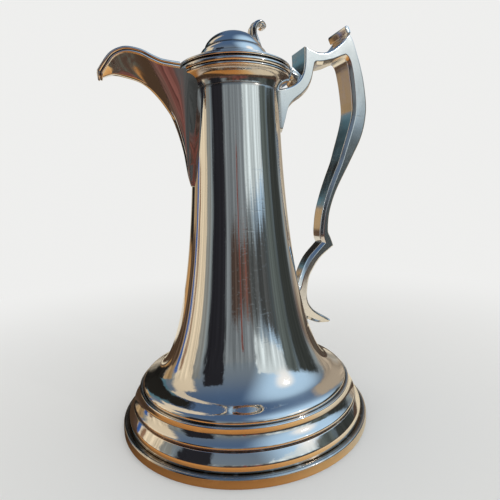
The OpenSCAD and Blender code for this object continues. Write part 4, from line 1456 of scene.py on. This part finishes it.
@dataclass
class Hinge:
    """Knuckles and pin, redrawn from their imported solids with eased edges."""

    leaf_ease: float = 0.25
    pin_ease: float = 0.15

    def build(self, shop: Workshop) -> None:
        """Dresses the two leaves and the pin."""
        shop.soften("fixed_leaf", Slot.CAST, Body.EWER, self.leaf_ease)
        shop.soften("lid_leaf", Slot.CAST, Body.LID, self.leaf_ease)
        shop.soften("hinge_pin", Slot.PIN, Body.EWER, self.pin_ease)


# Studio

@dataclass(frozen=True)
class Card:
    """One upright card of the studio that the plate mirrors.

    Angles are in degrees. The turn is counted from the camera's side, to the right as the
    camera sees it.
    """

    name: str
    turn: float
    half: float
    low: float
    high: float
    colour: Colour
    soft: float = 2.5


@dataclass
class Studio:
    """Camera, lamp, pale backdrop and the cards and soft sky that the plate mirrors.

    Pairs are the values between which a tone fades in or out.
    """

    camera_at: tuple = (-0.1068, -0.2781, 0.1616)
    yaw: float = 23.83
    pitch: float = -5.14
    roll: float = -1.82
    focal_px: float = 390.0
    middle_px: tuple = (259.4, 235.6)
    sensor_mm: float = 36.0
    near_m: float = 0.01
    pale: Colour = (0.86, 0.86, 0.85)
    floor_far: Colour = (0.10, 0.062, 0.046)
    horizon: Colour = (0.20, 0.23, 0.24)
    zenith: Colour = (0.07, 0.122, 0.22)
    sky_rise: tuple = (0.05, 0.95)
    ground_rise: tuple = (-0.02, -0.12)
    glow: Colour = (0.49, 0.70, 0.91)
    glow_turn: float = 68.0
    glow_rise: float = 38.0
    glow_edge: tuple = (0.6, 0.98)
    sun: Colour = (1.0, 0.99, 0.96)
    sun_turn: float = 59.0
    sun_rise: float = 31.0
    sun_edge: tuple = (0.94, 1.0)
    sun_falloff: float = 3.0
    sway_deg: float = 9.0
    torn_deg: float = 11.0
    torn_rise: float = 0.11
    fold_squeeze: float = 0.12
    fold_top: tuple = (0.42, 0.22)
    fold_depth: float = 2.6
    fold_least: float = 0.12
    back_turn: tuple = (164.0, 174.0)
    back_rise: tuple = (0.2, 0.1)
    lamp_away: float = 1.3
    lamp_up: float = 0.08
    lamp_aim: float = 0.12
    lamp_size: float = 0.04
    lamp_power: float = 0.5
    cards: tuple = (
        Card("grey curtain", -8.0, 26.0, -10.0, 17.0, (0.20, 0.225, 0.24), 1.6),
        Card("brown curtain", -2.0, 19.0, -16.0, 7.0, (0.085, 0.058, 0.047), 1.6),
        Card("red strip", -2.5, 1.4, -10.0, 13.0, (0.17, 0.05, 0.038), 1.0),
        Card("red fold", 7.0, 3.4, -10.0, 6.0, (0.21, 0.075, 0.056), 1.5),
        Card("low curtain", 40.0, 24.0, -16.0, 6.5, (0.075, 0.08, 0.08), 1.6),
        Card("pale curtain", 40.0, 23.0, 9.0, 24.0, (0.65, 0.73, 0.75), 2.0),
        Card("narrow flag", 58.0, 3.0, -16.0, 8.0, (0.06, 0.075, 0.08)),
        Card("right flag", 99.0, 17.0, -16.0, 18.0, (0.04, 0.045, 0.042), 6.0),
        Card("right warm card", 141.0, 13.0, -16.0, 46.0, (0.40, 0.33, 0.25), 5.0),
        Card("cream card", -95.0, 17.0, -16.0, 40.0, (0.72, 0.60, 0.43), 4.0),
        Card("blue strip", -113.0, 4.0, -16.0, 9.0, (0.055, 0.13, 0.36), 1.5),
        Card("brown strip", -103.0, 2.6, -16.0, 9.0, (0.22, 0.125, 0.075), 1.5),
        Card("grey card", -74.0, 6.0, -16.0, 22.0, (0.21, 0.215, 0.20)),
        Card("left flag", -47.0, 15.0, -16.0, 34.0, (0.018, 0.018, 0.022), 2.0),
        Card("left gold strip", -124.0, 7.0, -16.0, 16.0, (0.40, 0.27, 0.14)),
        Card("left brown strip", -127.0, 7.0, -16.0, 0.5, (0.09, 0.056, 0.036), 2.0),
        Card("back flag", -148.0, 17.0, -16.0, 56.0, (0.016, 0.015, 0.013), 2.0),
        Card("teal strip", -130.0, 3.6, 16.5, 44.0, (0.085, 0.17, 0.21), 2.0),
        Card("right curtain", 73.0, 11.0, -16.0, 20.0, (0.10, 0.12, 0.115), 3.0),
        Card("low brown card", -14.0, 22.0, -42.0, -10.5, (0.15, 0.078, 0.062), 2.0),
        Card("low red card", 14.0, 15.0, -24.0, -4.5, (0.19, 0.075, 0.062), 6.0),
        Card("low gold card", -147.0, 13.0, -32.0, -3.0, (0.45, 0.25, 0.10), 3.0),
        Card("cream gable", -115.0, 13.0, 38.0, 68.0, (0.68, 0.58, 0.44), 2.0),
        Card("back card", 180.0, 24.0, -12.0, 20.0, (0.60, 0.52, 0.40), 5.0))

    def camera(self) -> None:
        """Sets the camera at the fitted place, direction and lens."""
        yaw, pitch, roll = (math.radians(v) for v in (self.yaw, self.pitch, self.roll))
        level = math.cos(pitch)
        ahead = Vector((math.sin(yaw) * level, math.cos(yaw) * level, math.sin(pitch)))
        right = Vector((math.cos(yaw), -math.sin(yaw), 0))
        up = right.cross(ahead)
        x = right * math.cos(roll) + up * math.sin(roll)
        y = up * math.cos(roll) - right * math.sin(roll)
        data = bpy.data.cameras.new("camera")
        data.sensor_width, data.sensor_fit = self.sensor_mm, "HORIZONTAL"
        data.lens = self.focal_px / IMAGE_PX * self.sensor_mm
        data.shift_x = (IMAGE_PX / 2 - self.middle_px[0]) / IMAGE_PX
        data.shift_y = (self.middle_px[1] - IMAGE_PX / 2) / IMAGE_PX
        data.clip_start = self.near_m
        camera = link("camera", data)
        turn = Matrix((x, y, -ahead)).transposed().to_4x4()
        camera.matrix_world = Matrix.Translation(self.camera_at) @ turn
        bpy.context.scene.camera = camera

    def front(self) -> float:
        """Direction of the camera's side, in radians."""
        return math.atan2(self.camera_at[1], self.camera_at[0])

    def way(self, turn: float, rise: float = 0.0) -> Vector:
        """Direction at a turn and a rise in degrees."""
        a, e = self.front() + math.radians(turn), math.radians(rise)
        return Vector((math.cos(a) * math.cos(e), math.sin(a) * math.cos(e), math.sin(e)))

    def sky(self, w: Wiring, way: Socket, z: Socket) -> Socket:
        """Colour of the soft sky in a direction, with its glow at the right."""
        dome = w.mix(w.fade(z, *self.sky_rise), self.horizon, self.zenith)
        dome = w.mix(w.fade(z, *self.ground_rise), dome, self.floor_far)
        shine = w.dot(way, self.way(self.glow_turn, self.glow_rise))
        return w.mix(w.fade(shine, *self.glow_edge), dome, self.glow)

    def hang(self, w: Wiring, colour: Socket, way: Socket, turn: Socket, z: Socket) -> Socket:
        """Hangs the cards before the sky.

        Args:
            w: wiring of the world's tree.
            colour: colour of the sky.
            way: direction that is looked in.
            turn: its turn from the camera's side.
            z: its rise.

        Returns:
            The colour with the cards, whose edges are drawn a little uneven.
        """
        torn = w.ripple(way, scale=15.0, detail=4.0, rough=0.6)
        sway = w.times(w.ripple(way, scale=3.0, detail=2.0), math.radians(self.sway_deg))
        sway = w.plus(sway, w.times(torn, math.radians(self.torn_deg)))
        rise = w.plus(z, w.times(torn, self.torn_rise))
        for card in self.cards:
            aside = w.plus(w.minus(turn, math.radians(card.turn)), sway)
            aside = w.math("ABSOLUTE", w.math("WRAP", aside, math.pi, -math.pi))
            outer, inner = (math.radians(card.half + d) for d in (card.soft, -card.soft))
            low, high, soft = (math.sin(math.radians(v))
                               for v in (card.low, card.high, 0.5 * card.soft))
            tall = w.times(w.fade(rise, low - soft, low + soft),
                           w.fade(rise, high + soft, high - soft))
            mask = w.times(w.fade(aside, outer, inner), tall)
            colour = w.mix(mask, colour, card.colour, card.name)
        return colour

    def room(self, w: Wiring, way: Socket) -> tuple[Socket, Socket]:
        """Colour of the surroundings and the part of them that is backdrop.

        Args:
            w: wiring of the world's tree.
            way: direction that is looked in.

        Returns:
            The colour, and a mask that is 1 behind the object.
        """
        x, y, z = w.split(way)
        turn = w.minus(w.math("ARCTAN2", y, x), self.front())
        turn = w.math("WRAP", turn, math.pi, -math.pi)
        colour = self.hang(w, self.sky(w, way, z), way, turn, z)
        strip = w.vector(w.math("COSINE", turn), w.math("SINE", turn),
                         w.times(z, self.fold_squeeze))
        folds = w.ripple(strip, scale=11.0, detail=4.0, rough=0.65)
        deep = w.times(w.fade(z, *self.fold_top), folds)
        gain = w.most(w.plus(1.0, w.times(deep, self.fold_depth)), self.fold_least)
        core = w.dot(way, self.way(self.sun_turn, self.sun_rise))
        halo = w.math("POWER", w.fade(core, *self.sun_edge), self.sun_falloff)
        colour = w.mix(halo, w.scaled(colour, gain), self.sun)
        back = (math.radians(v) for v in self.back_turn)
        behind = w.times(w.fade(w.math("ABSOLUTE", turn), *back), w.fade(z, *self.back_rise))
        return colour, behind

    def world(self) -> None:
        """Builds a pale backdrop for the camera, and cards under a soft sky for the plate."""
        world = bpy.data.worlds.new("studio")
        bpy.context.scene.world = world
        w = bare_tree(world)
        colour, behind = self.room(w, w.node("ShaderNodeTexCoord").outputs["Generated"])
        path = w.node("ShaderNodeLightPath").outputs
        plain = w.most(path["Is Camera Ray"], path["Is Transmission Ray"], path["Is Diffuse Ray"],
                       w.times(path["Is Glossy Ray"], behind))
        lit, seen = (w.node("ShaderNodeBackground", {"Color": c, "Strength": 1.0})
                     for c in (colour, (*self.pale, 1.0)))
        w.node("ShaderNodeOutputWorld", {"Surface": w.blend(plain, lit, seen).outputs[0]})

    def lamp(self) -> None:
        """Hangs a small lamp at the right, where the sky is brightest."""
        data = bpy.data.lights.new("key", "AREA")
        data.size, data.energy = self.lamp_size, self.lamp_power
        lamp = link("key", data)
        lamp.visible_camera = False
        place = self.way(self.sun_turn, self.sun_rise) * self.lamp_away
        place += Vector((0, 0, self.lamp_up))
        ahead = (Vector((0, 0, self.lamp_aim)) - place).normalized()
        turn = ahead.to_track_quat("-Z", "Y").to_matrix().to_4x4()
        lamp.matrix_world = Matrix.Translation(place) @ turn

    def build(self) -> None:
        """Sets up the whole studio."""
        bpy.context.scene.view_settings.view_transform = "Standard"
        self.camera()
        self.world()
        Floor(self).build()
        self.lamp()


@dataclass
class Floor:
    """Round pale floor that fades into the backdrop; the plate mirrors it warm, with painted light
    and shadows.

    Pairs are the values between which a tone fades in or out: distances in metres, or
    cosines of angles.
    """

    studio: Studio
    sides: int = 96
    reach: float = 6000.0
    below: float = 0.05
    # The floor's warm tone is painted from gold, on the side away from the light, to cream on the
    # lit side.
    gold: Colour = (0.66, 0.29, 0.085)
    amber: Colour = (0.95, 0.58, 0.25)
    cream: Colour = (1.0, 0.86, 0.64)
    high: Colour = (0.84, 0.78, 0.68)
    # Grey streaks of the floor that is painted dark beyond the lit pool.
    grey: Colour = (0.13, 0.125, 0.10)
    # Colour of the painted shadows on the floor.
    shade: Colour = (0.085, 0.05, 0.03)
    left_turn: float = -100.0
    shade_turn: float = -72.0
    amber_from: tuple = (0.9, 0.35)
    cream_from: tuple = (0.45, -0.1)
    high_from: tuple = (0.045, 0.085)
    high_to: tuple = (0.245, 0.236)
    high_share: float = 0.75
    wider: float = 0.2
    left_from: tuple = (0.2, 0.8)
    lit_to: tuple = (0.15, 0.21)
    streak_from: tuple = (0.42, 0.62)
    contact_shadow_to: tuple = (0.13, 0.097)
    contact_shadow_left: tuple = (-0.6, 0.9)
    contact_shadow_least: float = 0.1
    contact_shadow_more: float = 0.5
    shade_from: tuple = (0.19, 0.27)
    shade_sway: float = 0.25
    cast_shadow_from: tuple = (0.02, 0.07)
    cast_shadow_half: tuple = (0.105, 0.085)
    glance_from: tuple = (0.86, 0.95)
    cloud_sway: float = 0.14
    pale_from: tuple = (0.12, 0.6)
    ends_at: tuple = (0.5, 0.6)

    def towards(self, w: Wiring, vector: Socket, turn: float) -> Socket:
        """How far a vector points at a turn in degrees."""
        return w.dot(vector, self.studio.way(turn))

    def tone(self, w: Wiring, place: Socket, span: Socket, cloud: Socket, drop: Socket) -> Socket:
        """Colour of the floor as the plate mirrors it, with painted light and painted shadows.

        Args:
            w: wiring of the floor's material.
            place: place on the floor.
            span: its distance from the axis.
            cloud: that distance, made uneven.
            drop: height from which the floor is mirrored.

        Returns:
            Gold in front, painted cream on the lit side and paler from barrel height, painted dark
            beyond the lit pool, with painted shadows over it.
        """
        sun = self.studio.sun_turn
        aim = w.node("ShaderNodeVectorMath", {0: place}, operation="NORMALIZE").outputs[0]
        # Painted light: the warm tone runs from gold to cream towards the side that the light falls
        # on.
        unlit_side, left = (self.towards(w, aim, t) for t in (sun - 90.0, self.left_turn))
        warm = w.mix(w.fade(unlit_side, *self.amber_from), self.gold, self.amber)
        warm = w.mix(w.fade(unlit_side, *self.cream_from), warm, self.cream)
        high = w.fade(drop, *self.high_from)
        barrel = w.times(high, w.fade(drop, *self.high_to))
        warm = w.mix(w.times(barrel, self.high_share), warm, self.high)
        # Painted fall-off of light: beyond the lit pool the floor turns dark, in grey streaks.
        more = w.plus(w.times(high, self.wider), w.times(w.fade(left, *self.left_from), self.wider))
        streak = w.fade(w.noise(place, scale=20.0, detail=4.0), *self.streak_from)
        dark = w.mix(streak, self.studio.floor_far, self.grey)
        warm = w.mix(w.fade(w.minus(cloud, more), *self.lit_to), warm, dark)
        # Painted contact shadow round the foot, deeper on the left, away from the light.
        contact_shadow = w.plus(self.contact_shadow_least, w.times(w.fade(left, *self.contact_shadow_left), self.contact_shadow_more))
        contact_shadow = w.times(w.fade(span, *self.contact_shadow_to), contact_shadow)
        # Painted shade on the floor at the left.
        sway = w.times(w.minus(cloud, span), self.shade_sway)
        aside = w.fade(w.plus(self.towards(w, place, self.shade_turn), sway), *self.shade_from)
        # Painted cast shadow: a strip that runs from the foot away from the light.
        down, across = (self.towards(w, place, sun + t) for t in (180.0, 90.0))
        cast_shadow = w.times(w.fade(down, *self.cast_shadow_from),
                       w.fade(w.math("ABSOLUTE", across), *self.cast_shadow_half))
        # Paints the contact shadow, the shade at the left and the cast shadow in the shade colour.
        for mask in (contact_shadow, aside, cast_shadow):
            warm = w.mix(mask, warm, self.shade)
        return warm

    def paper(self) -> Material:
        """Matte paper that is pale for the camera and warm, with painted light and shadows, where
        the plate mirrors it.
        """
        made, pale = bpy.data.materials.new("floor_paper"), self.studio.pale
        w = bare_tree(made)
        place = w.node("ShaderNodeTexCoord").outputs["Object"]
        span = w.node("ShaderNodeVectorMath", {0: place}, operation="LENGTH").outputs["Value"]
        cloud = w.plus(span, w.times(w.ripple(place, scale=6.0, detail=4.0), self.cloud_sway))
        path = w.node("ShaderNodeLightPath").outputs
        glance = w.node("ShaderNodeLayerWeight", {"Blend": 0.5}).outputs["Facing"]
        drop = w.times(path["Ray Length"], w.minus(1.0, glance))
        warm = self.tone(w, place, span, cloud, drop)
        # Glancing rays see the floor painted dark, as beyond the lit pool.
        warm = w.mix(w.fade(glance, *self.glance_from), warm, self.studio.floor_far)
        seen = w.most(path["Is Camera Ray"], path["Is Transmission Ray"])
        matte = w.node("ShaderNodeBsdfDiffuse", {"Color": w.mix(seen, warm, pale)})
        plain = w.node("ShaderNodeEmission", {"Color": (*pale, 1.0), "Strength": 1.0})
        both = w.blend(w.times(seen, w.fade(span, *self.pale_from)), matte, plain)
        ended = w.times(w.fade(cloud, *self.ends_at), path["Is Glossy Ray"])
        both = w.blend(ended, both, w.node("ShaderNodeBsdfTransparent"))
        w.node("ShaderNodeOutputMaterial", {"Surface": both.outputs[0]})
        return made

    def build(self) -> None:
        """Lays the floor."""
        turns = [k * math.tau / self.sides for k in range(self.sides)]
        ring = [(self.reach * math.cos(a), self.reach * math.sin(a), -self.below) for a in turns]
        floor = new_piece("floor", np.array(ring), [tuple(range(self.sides))])
        floor.data.materials.append(self.paper())


def main() -> None:
    """Builds the ewer piece by piece, then the studio."""
    logging.basicConfig(level=logging.INFO, format="%(name)s %(message)s")
    at = Datum.read()
    shop = Workshop()
    vessel = Vessel(at)
    for part in (vessel, Spout(at, vessel), Handle(at, vessel), Lid(at, vessel), Hinge()):
        log.info("building %s", type(part).__name__)
        part.build(shop)
    Studio().build()


if __name__ == "__main__":
    main()
